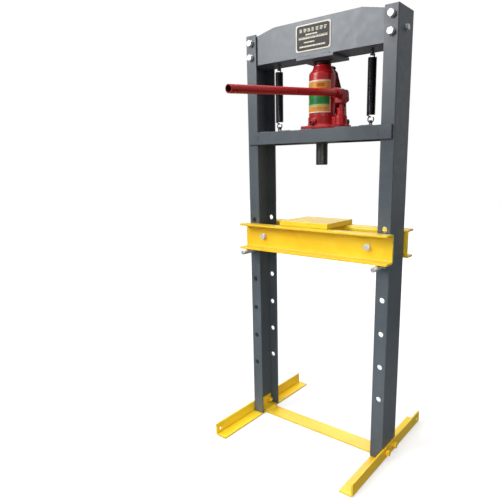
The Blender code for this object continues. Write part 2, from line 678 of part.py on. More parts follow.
# ---------------------------------------------------------------- hydraulic jack
def build_jack_base():
    low = JACK_Z
    deck = low + JACK_PLATE_T
    corner_x = BASE_LEFT + BASE_CORNER_R
    corner_y = BASE_HALF_D - BASE_CORNER_R
    outline = arc((corner_x, corner_y), BASE_CORNER_R, 180, 90, 3) + list(BASE_NOSE)
    outline += arc((corner_x, -corner_y), BASE_CORNER_R, 270, 180, 3)
    base = prism("jack_base", outline, "Z", low, deck, "red_paint")
    sunk = deck - BASE_SINK
    seat = [(0, sunk), (SEAT_R + 0.0025, sunk), (SEAT_R + 0.0025, deck), (SEAT_R, deck + 0.006),
            (SEAT_R, SOCKET_TOP), (0, SOCKET_TOP)]
    boss = [(0, sunk), (BOSS_R + 0.0005, sunk), (BOSS_R, SOCKET_TOP), (BOSS_R - 0.0015, SOCKET_TOP + 0.002),
            (0, SOCKET_TOP + 0.002)]
    parts = [
        turned("seat", seat, (0, 0, 0), (0, 0, 1), segments=32),
        turned("boss", boss, (PUMP_X, 0, 0), (0, 0, 1), segments=20),
        box("web", (WEB_START_X, PUMP_X), (-WEB_HALF, WEB_HALF), (sunk, SOCKET_TOP - 0.001)),
        box("lug", (PUMP_X - LUG_HALF, PUMP_X + LUG_HALF), (LUG_FRONT, LUG_REAR),
            (sunk, LINK_FOOT[1] + 0.008)),
        rod("valve_boss", (VALVE_X, 0, VALVE_Z), (0, -1, 0), VALVE_BOSS_R, VALVE_BOSS_REAR, VALVE_BOSS_FRONT),
    ]
    combine(base, parts, "UNION")
    cuts = [
        rod("seat_bore", (0, 0, 0), (0, 0, 1), CYL_R + GAP, CYL_Z0 - GAP, 1.05, segments=32),
        rod("pump_bore", (PUMP_X, 0, 0), (0, 0, 1), PUMP_BARREL_R + GAP, PUMP_FOOT - GAP, 1.05, segments=20),
        box("link_slot", (PUMP_X - LINK_SLOT_HALF, PUMP_X + LINK_SLOT_HALF), (LINK_SLOT_FRONT, 0.040),
            (sunk - 0.002, 1.05)),
        rod("pin_hole", (PUMP_X, *LINK_FOOT), (1, 0, 0), LINK_PIN_R + GAP, -0.02, 0.02, segments=12),
        rod("valve_bore", (VALVE_X, 0, VALVE_Z), (0, -1, 0), VALVE_STEM_R + GAP, VALVE_BORE_END, 0.07),
    ]
    combine(base, cuts)


def build_jack_body():
    wall_in = RES_R - RES_WALL
    dome = [(RES_R - DOME_W + u, RES_SIDE_TOP + v * DOME_H / DOME_W)
            for u, v in arc((0, 0), DOME_W, 0, 75, 4)]
    dome_in = [(r - 0.0026, z - 0.0028) for r, z in dome[::-1]]
    res_top = dome[-1][1]
    shell = [(wall_in, SOCKET_TOP + GAP), (RES_R, SOCKET_TOP + GAP)] + dome
    shell += [(RES_MOUTH_R, res_top), (RES_MOUTH_R, res_top - 0.0035)] + dome_in[1:]
    reservoir = turned("jack_reservoir", shell, (0, 0, 0), (0, 0, 1), "red_paint", 30)
    drill(reservoir, [((-RES_R, 0, PLUG_Z), (1, 0, 0), PORT_R, 0.01)], 12)
    plug = [(0, -0.0055), (0.0045, -0.0055), (0.0050, -0.0035), (0.0050, 0.0012), (0.0078, 0.0012),
            (0.0070, 0.0038), (0, 0.0044)]
    turned("filler_plug", plug, (-RES_R, 0, PLUG_Z), (-1, 0, 0), "rubber", 16)

    tube = [(CYL_BORE_R, CYL_Z0), (CYL_R, CYL_Z0), (CYL_R, CYL_Z1), (CYL_BORE_R, CYL_Z1)]
    turned("jack_cylinder", tube, (0, 0, 0), (0, 0, 1), "ground_steel", 24)

    seat_r = CYL_R + GAP
    cap = [(seat_r, CAP_SKIRT_Z), (CAP_SKIRT_R, CAP_SKIRT_Z), (CAP_SKIRT_R, CAP_CONE_Z),
           (CAP_TOP_R + 0.0006, CAP_TOP - 0.001), (CAP_TOP_R, CAP_TOP), (CAP_BORE_R, CAP_TOP),
           (CAP_BORE_R, CYL_Z1 + GAP), (seat_r, CYL_Z1 + GAP)]
    turned("jack_top_cap", cap, (0, 0, 0), (0, 0, 1), "red_paint", 28)

    land_r = CYL_BORE_R - GAP
    bore_r = SCREW_R + 0.0005
    ram = [(0, RAM_FOOT), (land_r, RAM_FOOT), (land_r, SEAL_Z), (SEAL_GROOVE_R, SEAL_Z),
           (SEAL_GROOVE_R, SEAL_Z + SEAL_H), (land_r, SEAL_Z + SEAL_H), (land_r, PISTON_LAND_TOP),
           (RAM_R, PISTON_LAND_TOP + 0.001), (RAM_R, RAM_TOP - 0.001), (RAM_R - 0.001, RAM_TOP),
           (bore_r, RAM_TOP), (bore_r, RAM_BORE_FLOOR), (0, RAM_BORE_FLOOR)]
    turned("jack_ram", ram, (0, 0, 0), (0, 0, 1), "ground_steel", 24)
    seal_in = SEAL_GROOVE_R + GAP
    seal_out = land_r - 0.0001
    seal = [(seal_in, SEAL_Z + GAP), (seal_out, SEAL_Z + GAP), (seal_out, SEAL_Z + SEAL_H - GAP),
            (seal_in, SEAL_Z + SEAL_H - GAP)]
    turned("ram_seal", seal, (0, 0, 0), (0, 0, 1), "rubber", 20)
    under = RAM_TOP + 0.0004
    screw = [(0, SCREW_FOOT), (SCREW_R - 0.0015, SCREW_FOOT), (SCREW_R, SCREW_FOOT + 0.0015),
             (SCREW_R, under), (SADDLE_R - 0.001, under), (SADDLE_R, under + 0.001),
             (SADDLE_R, SADDLE_TOP - 0.001), (SADDLE_R - 0.001, SADDLE_TOP), (0.006, SADDLE_TOP),
             (0.005, SADDLE_TOP - 0.003), (0, SADDLE_TOP - 0.003)]
    turned("extension_screw", screw, (0, 0, 0), (0, 0, 1), "steel", 24)

    under = VALVE_BOSS_FRONT + GAP
    face = under + VALVE_HEAD_H
    valve = [(0, VALVE_STEM_END), (VALVE_STEM_R, VALVE_STEM_END), (VALVE_STEM_R, under),
             (VALVE_HEAD_R, under), (VALVE_HEAD_R, face - 0.001), (VALVE_HEAD_R - 0.001, face), (0, face)]
    knob = turned("release_valve", valve, (VALVE_X, 0, VALVE_Z), (0, -1, 0), "steel", 20)
    slot = box("slot", (VALVE_X - VALVE_SLOT_HALF, VALVE_X + VALVE_SLOT_HALF),
               (-0.07, VALVE_SLOT_DEPTH - face), (VALVE_Z - 0.02, VALVE_Z + 0.02))
    combine(knob, [slot])
    set_origin(knob, (VALVE_X, 0, VALVE_Z))
    build_strap()


def build_strap():
    """Stay from the jack's cap down to its base, with a web that closes the space beside the body."""
    foot = JACK_Z + JACK_PLATE_T + GAP + STRAP_T / 2
    upper = list(STRAP_UPPER)
    path = upper + [(STRAP_R, STRAP_SHOULDER_Z), (STRAP_R, foot), (STRAP_TOE_R, foot)]
    strap = prism("stay_strap", ribbon(path, STRAP_T), "Y", -STRAP_W / 2, STRAP_W / 2, "red_paint")
    body_r = RES_R + WEB_PLAY
    seat_z = SOCKET_TOP + 0.002
    outline = [(WEB_FOOT_R, foot), (STRAP_R, foot), (STRAP_R, STRAP_SHOULDER_Z)] + upper[:0:-1]
    outline += list(WEB_CREST) + [(body_r, RES_SIDE_TOP), (body_r, seat_z), (WEB_SEAT_R, seat_z),
                                  (WEB_SEAT_R, WEB_FLARE_Z), (WEB_FOOT_R, WEB_FLARE_Z)]
    combine(strap, [prism("web", outline, "Y", -STRAP_T / 2, STRAP_T / 2)], "UNION")
    strap.data.transform(Matrix.Rotation(STRAP_AZIMUTH, 4, "Z"))


def build_pump():
    step = SOCKET_TOP + 0.002 + GAP
    body = [(0, PUMP_FOOT), (PUMP_BARREL_R, PUMP_FOOT), (PUMP_BARREL_R, step), (PUMP_R, step),
            (PUMP_R, PUMP_TOP - 0.0015), (PUMP_R - 0.0015, PUMP_TOP), (PUMP_BORE_R, PUMP_TOP),
            (PUMP_BORE_R, PUMP_BORE_FLOOR), (0, PUMP_BORE_FLOOR)]
    turned("pump_cylinder", body, (PUMP_X, 0, 0), (0, 0, 1), "red_paint", 24)

    y_p, z_p = PISTON_EYE
    piston = rod("pump_piston", (PUMP_X, 0, 0), (0, 0, 1), PISTON_ROD_R, PISTON_FOOT, z_p - 0.005,
                 "ground_steel", 20)
    eye = rod("eye", (PUMP_X, y_p, z_p), (1, 0, 0), EYE_R, -0.0045, 0.0045, segments=20)
    combine(piston, [eye], "UNION")
    drill(piston, [((PUMP_X, y_p, z_p), (1, 0, 0), PISTON_EYE_HOLE_R, 0.02)], 20)
    set_origin(piston, (PUMP_X, y_p, z_p))

    y0, z0 = LINK_FOOT
    y1, z1 = LINK_TOP
    lean = math.degrees(math.atan2(z1 - z0, y1 - y0))
    top, foot = Vector((y1, z1)), Vector((y0, z0))
    across = Vector((z0 - z1, y1 - y0)).normalized() * LINK_WAIST_HALF
    outline = arc(top, LINK_END_R, lean - 80, lean + 80, 6)
    outline += [tuple(top.lerp(foot, share) + across) for share in (0.24, 0.76)]
    outline += arc(foot, LINK_END_R, lean + 100, lean + 260, 6)
    outline += [tuple(top.lerp(foot, share) - across) for share in (0.76, 0.24)]
    link = prism("pump_link", outline, "X", PUMP_X - LINK_HALF_T, PUMP_X + LINK_HALF_T, "red_paint")
    drill(link, [((PUMP_X, y, z), (1, 0, 0), LINK_PIN_R + GAP, 0.02) for y, z in (LINK_FOOT, LINK_TOP)], 12)
    foot_pin = pivot_pin("link_foot_pin", (PUMP_X, y0, z0), LUG_HALF, LINK_PIN_R, PIN_HEAD_R, PIN_HEAD_T)
    top_pin = pivot_pin("link_top_pin", (PUMP_X, y1, z1), CHEEK_OUT, LINK_PIN_R, PIN_HEAD_R, PIN_HEAD_T)
    eye_pin = pivot_pin("piston_pin", (PUMP_X, y_p, z_p), CHEEK_OUT, LINK_PIN_R, PIN_HEAD_R, PIN_HEAD_T)
    for piece in (link, foot_pin, top_pin):
        set_origin(piece, (PUMP_X, y0, z0))
    set_origin(eye_pin, (PUMP_X, y1, z1))


def build_handle():
    """Two-cheeked socket on the link and the piston, and the loose tube pushed into it."""
    forward = Vector((0, -math.cos(HANDLE_TILT), -math.sin(HANDLE_TILT)))
    start = (PUMP_X, 0, SOCKET_AXIS_Z)
    barrel = [(0, -SOCKET_REAR), (SOCKET_R - 0.004, -SOCKET_REAR), (SOCKET_R, -SOCKET_REAR + 0.003),
              (SOCKET_R, SOCKET_FRONT), (0, SOCKET_FRONT)]
    socket = turned("handle_socket", barrel, start, forward, "red_paint", 24)
    cheek = [(YOKE_FRONT, YOKE_FOOT)] + arc(PISTON_EYE, EYE_R, 250, 300, 2)
    cheek += arc(LINK_TOP, HINGE_EYE_R, -60, 10, 3) + arc(YOKE_BACK, YOKE_BACK_R, 0, 90, 5)
    cheek += [(-0.010, SOCKET_AXIS_Z + 0.0065), (YOKE_FRONT, SOCKET_AXIS_Z - 0.006)]
    cheeks = []
    for side in (-1, 1):
        limits = sorted((PUMP_X + side * CHEEK_IN, PUMP_X + side * CHEEK_OUT))
        cheeks.append(prism("cheek", cheek, "X", limits[0], limits[1]))
    cheeks.append(box("front_wall", (PUMP_X - CHEEK_OUT, PUMP_X + CHEEK_OUT),
                      (YOKE_FRONT, YOKE_FRONT + YOKE_WALL), (YOKE_FOOT, SOCKET_AXIS_Z - 0.006)))
    combine(socket, cheeks, "UNION")
    cuts = [rod("bore", start, forward, HANDLE_R + GAP, HANDLE_START - GAP - 0.0001, 0.06, segments=24)]
    for y, z in (PISTON_EYE, LINK_TOP):
        cuts.append(rod("pin_hole", (PUMP_X, y, z), (1, 0, 0), LINK_PIN_R + GAP, -0.03, 0.03, segments=12))
    combine(socket, cuts)
    low = HANDLE_START
    end = HANDLE_START + HANDLE_LEN
    tube = [(HANDLE_BORE_R, low), (HANDLE_R, low), (HANDLE_R, end), (HANDLE_BORE_R, end)]
    handle = turned("handle_tube", tube, start, forward, "red_paint", 24)
    for piece in (socket, handle):
        set_origin(piece, (PUMP_X, *LINK_TOP))


# ---------------------------------------------------------------- build
for old_object in list(bpy.data.objects):
    bpy.data.objects.remove(old_object)
MATERIALS = {key: make_material(key) for key in PALETTE}
build_uprights()
build_brace()
build_head()
build_bolster()
build_springs()
build_bed()
build_jack_base()
build_jack_body()
build_pump()
build_handle()
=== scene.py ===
"""Looks of the H-frame workshop press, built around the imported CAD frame.

Every visible CAD node is replaced by a finer mesh of the same size: plates with rolled edges, bent
channels, castings with fillets, real coils, chamfered bolts, weld beads and printed plates. Places
and sizes are read from the frame, in metres, +Z up.
"""
import json
import math
import random

import bmesh
import bpy
from mathutils import Matrix, Vector


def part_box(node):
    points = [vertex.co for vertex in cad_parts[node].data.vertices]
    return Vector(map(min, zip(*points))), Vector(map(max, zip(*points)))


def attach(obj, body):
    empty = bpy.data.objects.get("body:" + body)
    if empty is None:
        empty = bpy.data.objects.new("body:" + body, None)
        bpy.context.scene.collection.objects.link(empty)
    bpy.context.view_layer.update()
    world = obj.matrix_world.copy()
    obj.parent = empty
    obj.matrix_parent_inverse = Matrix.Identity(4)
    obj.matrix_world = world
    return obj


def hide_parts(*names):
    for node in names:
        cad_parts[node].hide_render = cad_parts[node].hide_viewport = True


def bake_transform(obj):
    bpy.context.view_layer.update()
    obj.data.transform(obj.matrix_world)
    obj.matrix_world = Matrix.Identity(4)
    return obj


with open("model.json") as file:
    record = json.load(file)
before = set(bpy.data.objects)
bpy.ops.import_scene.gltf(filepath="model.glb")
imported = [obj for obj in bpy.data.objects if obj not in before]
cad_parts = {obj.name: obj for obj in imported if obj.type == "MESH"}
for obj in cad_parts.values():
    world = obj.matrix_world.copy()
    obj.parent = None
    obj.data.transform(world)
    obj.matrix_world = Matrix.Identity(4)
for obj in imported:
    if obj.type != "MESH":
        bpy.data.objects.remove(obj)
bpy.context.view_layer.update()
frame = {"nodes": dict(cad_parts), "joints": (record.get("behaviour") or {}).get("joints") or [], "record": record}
RANDOM = random.Random(11)

BODY_OF = {node: body for body, nodes in frame["record"]["behaviour"]["bodies"].items() for node in nodes}
JOINT = {joint["name"]: joint for joint in frame["joints"]}

# ---------------------------------------------------------------- sizes the frame doesn't state
GAP = 0.0003                # clearance between neighbouring pieces
EDGE = 0.0007               # rolled edge of cut plates
THROUGH = 0.1               # half length of a drill that passes a whole upright or both bed channels
HEAD_DRILL = 0.06           # half length of a drill that passes both head plates
ONE_WALL = 0.02             # half length of a drill that passes one wall
WALL = 0.005                # sheet of uprights, feet and brace
UPRIGHT_BEND = 0.0025       # outer corner radii of the bent profiles
FOOT_BEND = 0.0057
BED_BEND = 0.009
BED_WALL = 0.006
SHARPEST_BEND = 0.0008      # inside corner of a tightly pressed channel
PIN_HOLE_R = 0.0082
PIN_HOLE_PITCH = 0.100
PIN_HOLE_STEPS = range(-4, 2)   # height holes, counted from the pair that holds the bed
BOLT_PLAY = 0.0011          # between a bolt's shank and its hole
FOOT_END_HOLE_R = 0.006
FOOT_END_HOLE_IN = 0.018    # from the foot's end
FOOT_END_HOLE_DROP = 0.004  # below the foot bolts
BRACE_HALF_D = 0.027
BRACE_FLAT_X = 0.2015       # where the brace leaves the floor, and where it rests on the foot
BRACE_RAISED_X = 0.2085
BRACE_BEND = 0.0045
HEAD_SLOPE = 0.021          # drop of the head's upper edge at its ends
HEAD_FLAT_HALF = 0.143
PAD_T = 0.008               # plate under the head that the jack bears on
RING = (0.0255, 0.0300)     # radii of the locating ring under that plate
EYE_T = 0.003               # tabs that the springs hook into
EYE_HALF_W = 0.008
EYE_IN = 0.0085             # from a tab's end to its hole
HEAD_EYE_R = 0.0035         # radii of those holes
BOLSTER_EYE_R = 0.004
TUCK = 0.002                # how far a piece that is joined on reaches into its neighbour
SIDES = ((-1, "left"), (1, "right"))
Z_AXIS = (0, 0, 1)


# ---------------------------------------------------------------- readings from the frame
def middle(node):
    low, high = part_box(node)
    return (low + high) / 2


# ---------------------------------------------------------------- mesh helpers
AXES = {
    "X": Matrix(((0, 0, 1), (1, 0, 0), (0, 1, 0))),    # outline (y, z), extruded along x
    "Y": Matrix(((1, 0, 0), (0, 0, -1), (0, 1, 0))),   # outline (x, z), extruded along -y
    "Z": Matrix.Identity(3),                           # outline (x, y), extruded along z
}


def finish_mesh(name, bm, sharp=35.0):
    bmesh.ops.recalc_face_normals(bm, faces=bm.faces[:])
    mesh = bpy.data.meshes.new(name)
    bm.to_mesh(mesh)
    bm.free()
    shade(mesh, sharp)
    obj = bpy.data.objects.new(name, mesh)
    bpy.context.scene.collection.objects.link(obj)
    return obj


def shade(mesh, sharp=35.0):
    mesh.shade_smooth()
    mesh.set_sharp_from_angle(angle=math.radians(sharp))


def arc(centre, radius, start, end, steps):
    """Points of an arc, angles in degrees, both ends included."""
    points = []
    for k in range(steps + 1):
        angle = math.radians(start + (end - start) * k / steps)
        points.append((centre[0] + radius * math.cos(angle), centre[1] + radius * math.sin(angle)))
    return points


def rounded(points, reach, closed=True, steps=4):
    """Replace each corner of an outline by a smooth curve that starts at most reach before it."""
    points = [Vector(p) for p in points]
    count = len(points)
    result = []
    for k, corner in enumerate(points):
        if not closed and k in (0, count - 1):
            result.append(tuple(corner))
            continue
        before = points[k - 1]
        after = points[(k + 1) % count]
        lead = min(reach, 0.45 * (before - corner).length)
        tail = min(reach, 0.45 * (after - corner).length)
        start = corner + (before - corner).normalized() * lead
        end = corner + (after - corner).normalized() * tail
        for s in range(steps + 1):
            t = s / steps
            result.append(tuple(start * (1 - t) ** 2 + corner * 2 * t * (1 - t) + end * t * t))
    return result


def rectangle(x0, x1, y0, y1):
    return [(x0, y0), (x1, y0), (x1, y1), (x0, y1)]


def prism(name, outline, axis, low, high):
    """Extrude a closed outline along one axis between two planes."""
    turn = AXES[axis]
    sign = -1.0 if axis == "Y" else 1.0
    bm = bmesh.new()
    start = [bm.verts.new(turn @ Vector((u, v, sign * low))) for u, v in outline]
    face = bm.faces.new(start)
    grown = bmesh.ops.extrude_face_region(bm, geom=[face])
    moved = [item for item in grown["geom"] if isinstance(item, bmesh.types.BMVert)]
    bmesh.ops.translate(bm, verts=moved, vec=turn @ Vector((0, 0, sign * (high - low))))
    return finish_mesh(name, bm)


def block(name, low, high):
    return prism(name, rectangle(low[0], high[0], low[1], high[1]), "Z", low[2], high[2])


def aim(direction):
    return Vector(direction).normalized().to_track_quat("Z", "Y").to_matrix().to_4x4()


def lathe(name, profile, centre=(0, 0, 0), direction=Z_AXIS, segments=72):
    """Turn a profile of (radius, height); one that leaves the axis open closes to a ring."""
    bm = bmesh.new()
    rings = []
    for radius, height in profile:
        if radius < 1e-6:
            rings.append([bm.verts.new((0, 0, height))])
        else:
            angles = [2 * math.pi * k / segments for k in range(segments)]
            rings.append([bm.verts.new((radius * math.cos(a), radius * math.sin(a), height))
                          for a in angles])
    pairs = list(zip(rings, rings[1:]))
    if len(rings[0]) > 1:
        pairs.append((rings[-1], rings[0]))
    for lower, upper in pairs:
        for k in range(segments):
            n = (k + 1) % segments
            if len(lower) == 1:
                bm.faces.new((lower[0], upper[n], upper[k]))
            elif len(upper) == 1:
                bm.faces.new((lower[k], lower[n], upper[0]))
            else:
                bm.faces.new((lower[k], lower[n], upper[n], upper[k]))
    bm.transform(Matrix.Translation(Vector(centre)) @ aim(direction))
    return finish_mesh(name, bm)


def groove(radius, start, end, depth, slope):
    """Profile points of a turned ring groove."""
    return [(radius, start), (radius - depth, start + slope), (radius - depth, end - slope), (radius, end)]


def rod(name, centre, direction, radius, low, high, segments=40):
    """Plain cutter or core, from low to high along direction."""
    profile = [(0, low), (radius, low), (radius, high), (0, high)]
    return lathe(name, profile, centre, direction, segments)


def bridge(bm, rings):
    """Skin neighbouring rings that have the same number of points."""
    for lower, upper in zip(rings, rings[1:]):
        for k in range(len(lower)):
            n = (k + 1) % len(lower)
            bm.faces.new((lower[k], lower[n], upper[n], upper[k]))


def wire(bm, path, radius, sides=10):
    """Add a round wire along a path; radius is a number or one number per point."""
    points = [Vector(p) for p in path]
    radii = radius if isinstance(radius, list) else [radius] * len(points)
    rings = []
    side = None
    for k, point in enumerate(points):
        forward = (points[min(k + 1, len(points) - 1)] - points[max(k - 1, 0)]).normalized()
        if side is None:
            side = forward.orthogonal().normalized()
        side = (side - forward * side.dot(forward)).normalized()
        up = forward.cross(side)
        ring = []
        for s in range(sides):
            angle = 2 * math.pi * s / sides
            offset = side * math.cos(angle) + up * math.sin(angle)
            ring.append(bm.verts.new(point + offset * radii[k]))
        rings.append(ring)
    bridge(bm, rings)
    bm.faces.new(rings[0][::-1])
    bm.faces.new(rings[-1])


def bake(obj, sharp=35.0):
    """Apply an object's modifiers and shade the result."""
    depsgraph = bpy.context.evaluated_depsgraph_get()
    mesh = bpy.data.meshes.new_from_object(obj.evaluated_get(depsgraph))
    obj.modifiers.clear()
    obj.data = mesh
    mesh.name = obj.name
    shade(mesh, sharp)
    return obj


def boolean(obj, tools, operation="DIFFERENCE", sharp=35.0):
    for tool in tools:
        modifier = obj.modifiers.new("boolean", "BOOLEAN")
        modifier.operation = operation
        modifier.solver = "EXACT"
        modifier.object = tool
    bake(obj, sharp)
    for tool in tools:
        bpy.data.objects.remove(tool)
    return obj


def drill(obj, holes, segments=40):
    """Cut round holes, each (centre, direction, radius, half length)."""
    return boolean(obj, [rod("drill", centre, direction, radius, -half, half, segments)
                         for centre, direction, radius, half in holes])


def soften(obj, width=EDGE):
    """Round the edges of a plate or bar."""
    modifier = obj.modifiers.new("bevel", "BEVEL")
    modifier.width = width
    modifier.segments = 3
    modifier.limit_method = "ANGLE"
    modifier.angle_limit = math.radians(40.0)
    return bake(obj)


def even(obj):
    """Keep large flat faces flat in shading beside their rounded edges."""
    modifier = obj.modifiers.new("normals", "WEIGHTED_NORMAL")
    modifier.weight = 80
    modifier.keep_sharp = True
    return obj


def cast(obj, grain, passes):
    """Turn a rough union of shapes into one skin with the fillets of a casting."""
    remesh = obj.modifiers.new("remesh", "REMESH")
    remesh.mode = "VOXEL"
    remesh.voxel_size = grain
    smooth = obj.modifiers.new("smooth", "SMOOTH")
    smooth.factor = 0.5
    smooth.iterations = passes
    return bake(obj, 60.0)


def join(name, parts):
    """One object from several closed shells."""
    bm = bmesh.new()
    for part in parts:
        bm.from_mesh(part.data)
        bpy.data.objects.remove(part)
    return finish_mesh(name, bm)


# ---------------------------------------------------------------- materials
def picked(red, green, blue):
    """Linear colour of an sRGB colour given as 0 to 255."""
    def linear(value):
        value /= 255.0
        return value / 12.92 if value <= 0.04045 else ((value + 0.055) / 1.055) ** 2.4
    return (linear(red), linear(green), linear(blue))


class Graph:
    """Short calls for building one material's node tree."""

    def __init__(self, name):
        self.material = bpy.data.materials.new(name)
        self.material.use_nodes = True
        self.tree = self.material.node_tree
        self.shader = self.tree.nodes["Principled BSDF"]
        self.place = self.add("TexCoord").outputs["Object"]

    def feed(self, socket, value):
        if isinstance(value, bpy.types.NodeSocket):
            self.tree.links.new(value, socket)
        elif socket.type == "RGBA":
            socket.default_value = (*value, 1.0)
        else:
            socket.default_value = value

    def add(self, kind, inputs=None, **settings):
        made = self.tree.nodes.new("ShaderNode" + kind)
        for key, value in settings.items():
            setattr(made, key, value)
        for key, value in (inputs or {}).items():
            self.feed(made.inputs[key], value)
        return made

    def noise(self, scale, detail=3.0, stretch=None, rough=0.5):
        """Noise of scale features per metre; stretch scales each axis first."""
        place = self.place
        if stretch:
            place = self.add("Mapping", {"Vector": place, "Scale": stretch}).outputs[0]
        inputs = {"Vector": place, "Scale": scale, "Detail": detail, "Roughness": rough}
        return self.add("TexNoise", inputs).outputs[0]

    def math(self, operation, a, b):
        return self.add("Math", {0: a, 1: b}, operation=operation).outputs[0]

    def ramp(self, value, low, high, to_low=0.0, to_high=1.0):
        inputs = {"Value": value, "From Min": low, "From Max": high, "To Min": to_low, "To Max": to_high}
        return self.add("MapRange", inputs).outputs[0]

    def mix(self, amount, a, b):
        return self.add("Mix", {0: amount, 6: a, 7: b}, data_type="RGBA").outputs[2]

    def edges(self, radius):
        """1 on sharp outer edges, 0 on flat faces."""
        soft = self.add("Bevel", {"Radius": radius}, samples=4).outputs[0]
        true = self.add("NewGeometry").outputs["Normal"]
        agree = self.add("VectorMath", {0: soft, 1: true}, operation="DOT_PRODUCT").outputs["Value"]
        return self.ramp(agree, 0.985, 0.80)

    def crevices(self, distance):
        """Mask for painted shade: 1 deep in corners, 0 in the open."""
        light = self.add("AmbientOcclusion", {"Distance": distance}, samples=4).outputs["AO"]
        return self.ramp(light, 0.80, 0.25)

    def bump(self, height, strength, distance, normal=None):
        inputs = {"Height": height, "Strength": strength, "Distance": distance}
        if normal:
            inputs["Normal"] = normal
        return self.add("Bump", inputs).outputs[0]

    def finish(self, inputs):
        for key, value in inputs.items():
            self.feed(self.shader.inputs[key], value)
        return self.material


STEEL_BARE = (0.20, 0.19, 0.18)
PAINT_WEAR = 0.5            # strength of chips and specks
ORANGE_PEEL = 0.10


def paint(name, colour, shade_colour, roughness=0.38, grain=0.0, coat=0.0, sheen=0.5):
    """Sprayed or dipped paint: tone drifts, orange peel, thin and chipped edges, painted shade darkening its
    corners.
    """
    g = Graph(name)
    broad = g.noise(6.0, 4.0)
    patchy = g.noise(45.0, 5.0, rough=0.6)
    fine = g.noise(320.0, 5.0, rough=0.65)
    tone = g.mix(g.ramp(broad, 0.38, 0.68), colour, shade_colour)
    pale = tuple(min(1.0, c * 1.35 + 0.02) for c in colour)
    tone = g.mix(g.ramp(patchy, 0.52, 0.80, 0.0, 0.22), tone, pale)
    edges = g.edges(0.0011)
    tone = g.mix(g.math("MULTIPLY", edges, 0.40), tone, pale)
    chips = g.math("MULTIPLY", edges, g.ramp(fine, 0.56, 0.64))
    tone = g.mix(g.math("MULTIPLY", chips, PAINT_WEAR), tone, STEEL_BARE)
    specks = g.ramp(g.noise(150.0, 2.0, rough=0.4), 0.735, 0.75)
    tone = g.mix(g.math("MULTIPLY", specks, PAINT_WEAR), tone, tuple(c * 0.45 for c in colour))
    # painted shade: corners and recesses darkened towards a deep copy of the shade colour
    corner_shade = g.crevices(0.010)
    tone = g.mix(g.math("MULTIPLY", corner_shade, 0.55), tone, tuple(c * 0.30 for c in shade_colour))
    dull = g.ramp(patchy, 0.30, 0.75, roughness - 0.07, roughness + 0.10)
    dull = g.math("ADD", dull, g.math("MULTIPLY", chips, 0.2))
    normal = g.bump(g.noise(520.0, 2.0), ORANGE_PEEL, 0.0006)
    if grain:
        normal = g.bump(g.noise(260.0, 6.0, rough=0.7), grain, 0.0010, normal)
    return g.finish({"Base Color": tone, "Roughness": dull, "Normal": normal, "Coat Weight": coat,
                     "Coat Roughness": 0.12, "Specular IOR Level": sheen})


def metal(name, colour, shade_colour, roughness, grain=None, scale=900.0, lines=0.25, stain=None,
          metallic=1.0):
    """Bare or plated metal; grain stretches the tool marks, stain is the colour of oil or rust."""
    g = Graph(name)
    patchy = g.noise(70.0, 5.0, rough=0.6)
    marks = g.noise(scale, 3.0, grain or (1, 1, 1), 0.6)
    tone = g.mix(g.ramp(patchy, 0.35, 0.70), colour, shade_colour)
    tone = g.mix(g.ramp(marks, 0.35, 0.75, 0.0, 0.25), tone, tuple(c * 0.55 for c in colour))
    if stain:
        spots = g.math("MULTIPLY", g.ramp(g.noise(38.0, 6.0, rough=0.7), 0.54, 0.66), 0.55)
        tone = g.mix(spots, tone, stain)
    # painted shade: corners and recesses of the metal darkened almost to black
    corner_shade = g.crevices(0.006)
    tone = g.mix(g.math("MULTIPLY", corner_shade, 0.6), tone, (0.012, 0.011, 0.010))
    edges = g.edges(0.0006)
    tone = g.mix(g.math("MULTIPLY", edges, 0.5), tone, tuple(min(1.0, c * 1.4) for c in colour))
    dull = g.ramp(patchy, 0.30, 0.75, roughness - 0.06, roughness + 0.12)
    normal = g.bump(marks, lines, 0.0004)
    return g.finish({"Base Color": tone, "Roughness": dull, "Normal": normal, "Metallic": metallic})


def rubber(name, colour):
    g = Graph(name)
    tone = g.mix(g.noise(80.0, 4.0), colour, tuple(c * 1.8 + 0.004 for c in colour))
    return g.finish({"Base Color": tone, "Roughness": g.ramp(g.noise(200.0), 0.3, 0.7, 0.55, 0.8),
                     "Normal": g.bump(g.noise(900.0, 3.0), 0.3, 0.0003)})


def print_film(name, colour, roughness=0.30):
    """Printed film or enamel of a label: fine dot grain, slight scuffs."""
    g = Graph(name)
    scuffs = g.ramp(g.noise(120.0, 6.0, (1, 1, 4), 0.7), 0.58, 0.72)
    tone = g.mix(g.ramp(g.noise(900.0, 2.0), 0.4, 0.6, 0.0, 0.18), colour, tuple(c * 0.7 for c in colour))
    tone = g.mix(g.math("MULTIPLY", scuffs, 0.22), tone, tuple(c * 0.5 + 0.25 for c in colour))
    return g.finish({"Base Color": tone, "Roughness": g.ramp(scuffs, 0, 1, roughness, roughness + 0.25),
                     "Normal": g.bump(g.noise(60.0, 3.0), 0.06, 0.0008), "Coat Weight": 0.1,
                     "Coat Roughness": 0.18, "Specular IOR Level": 0.35})


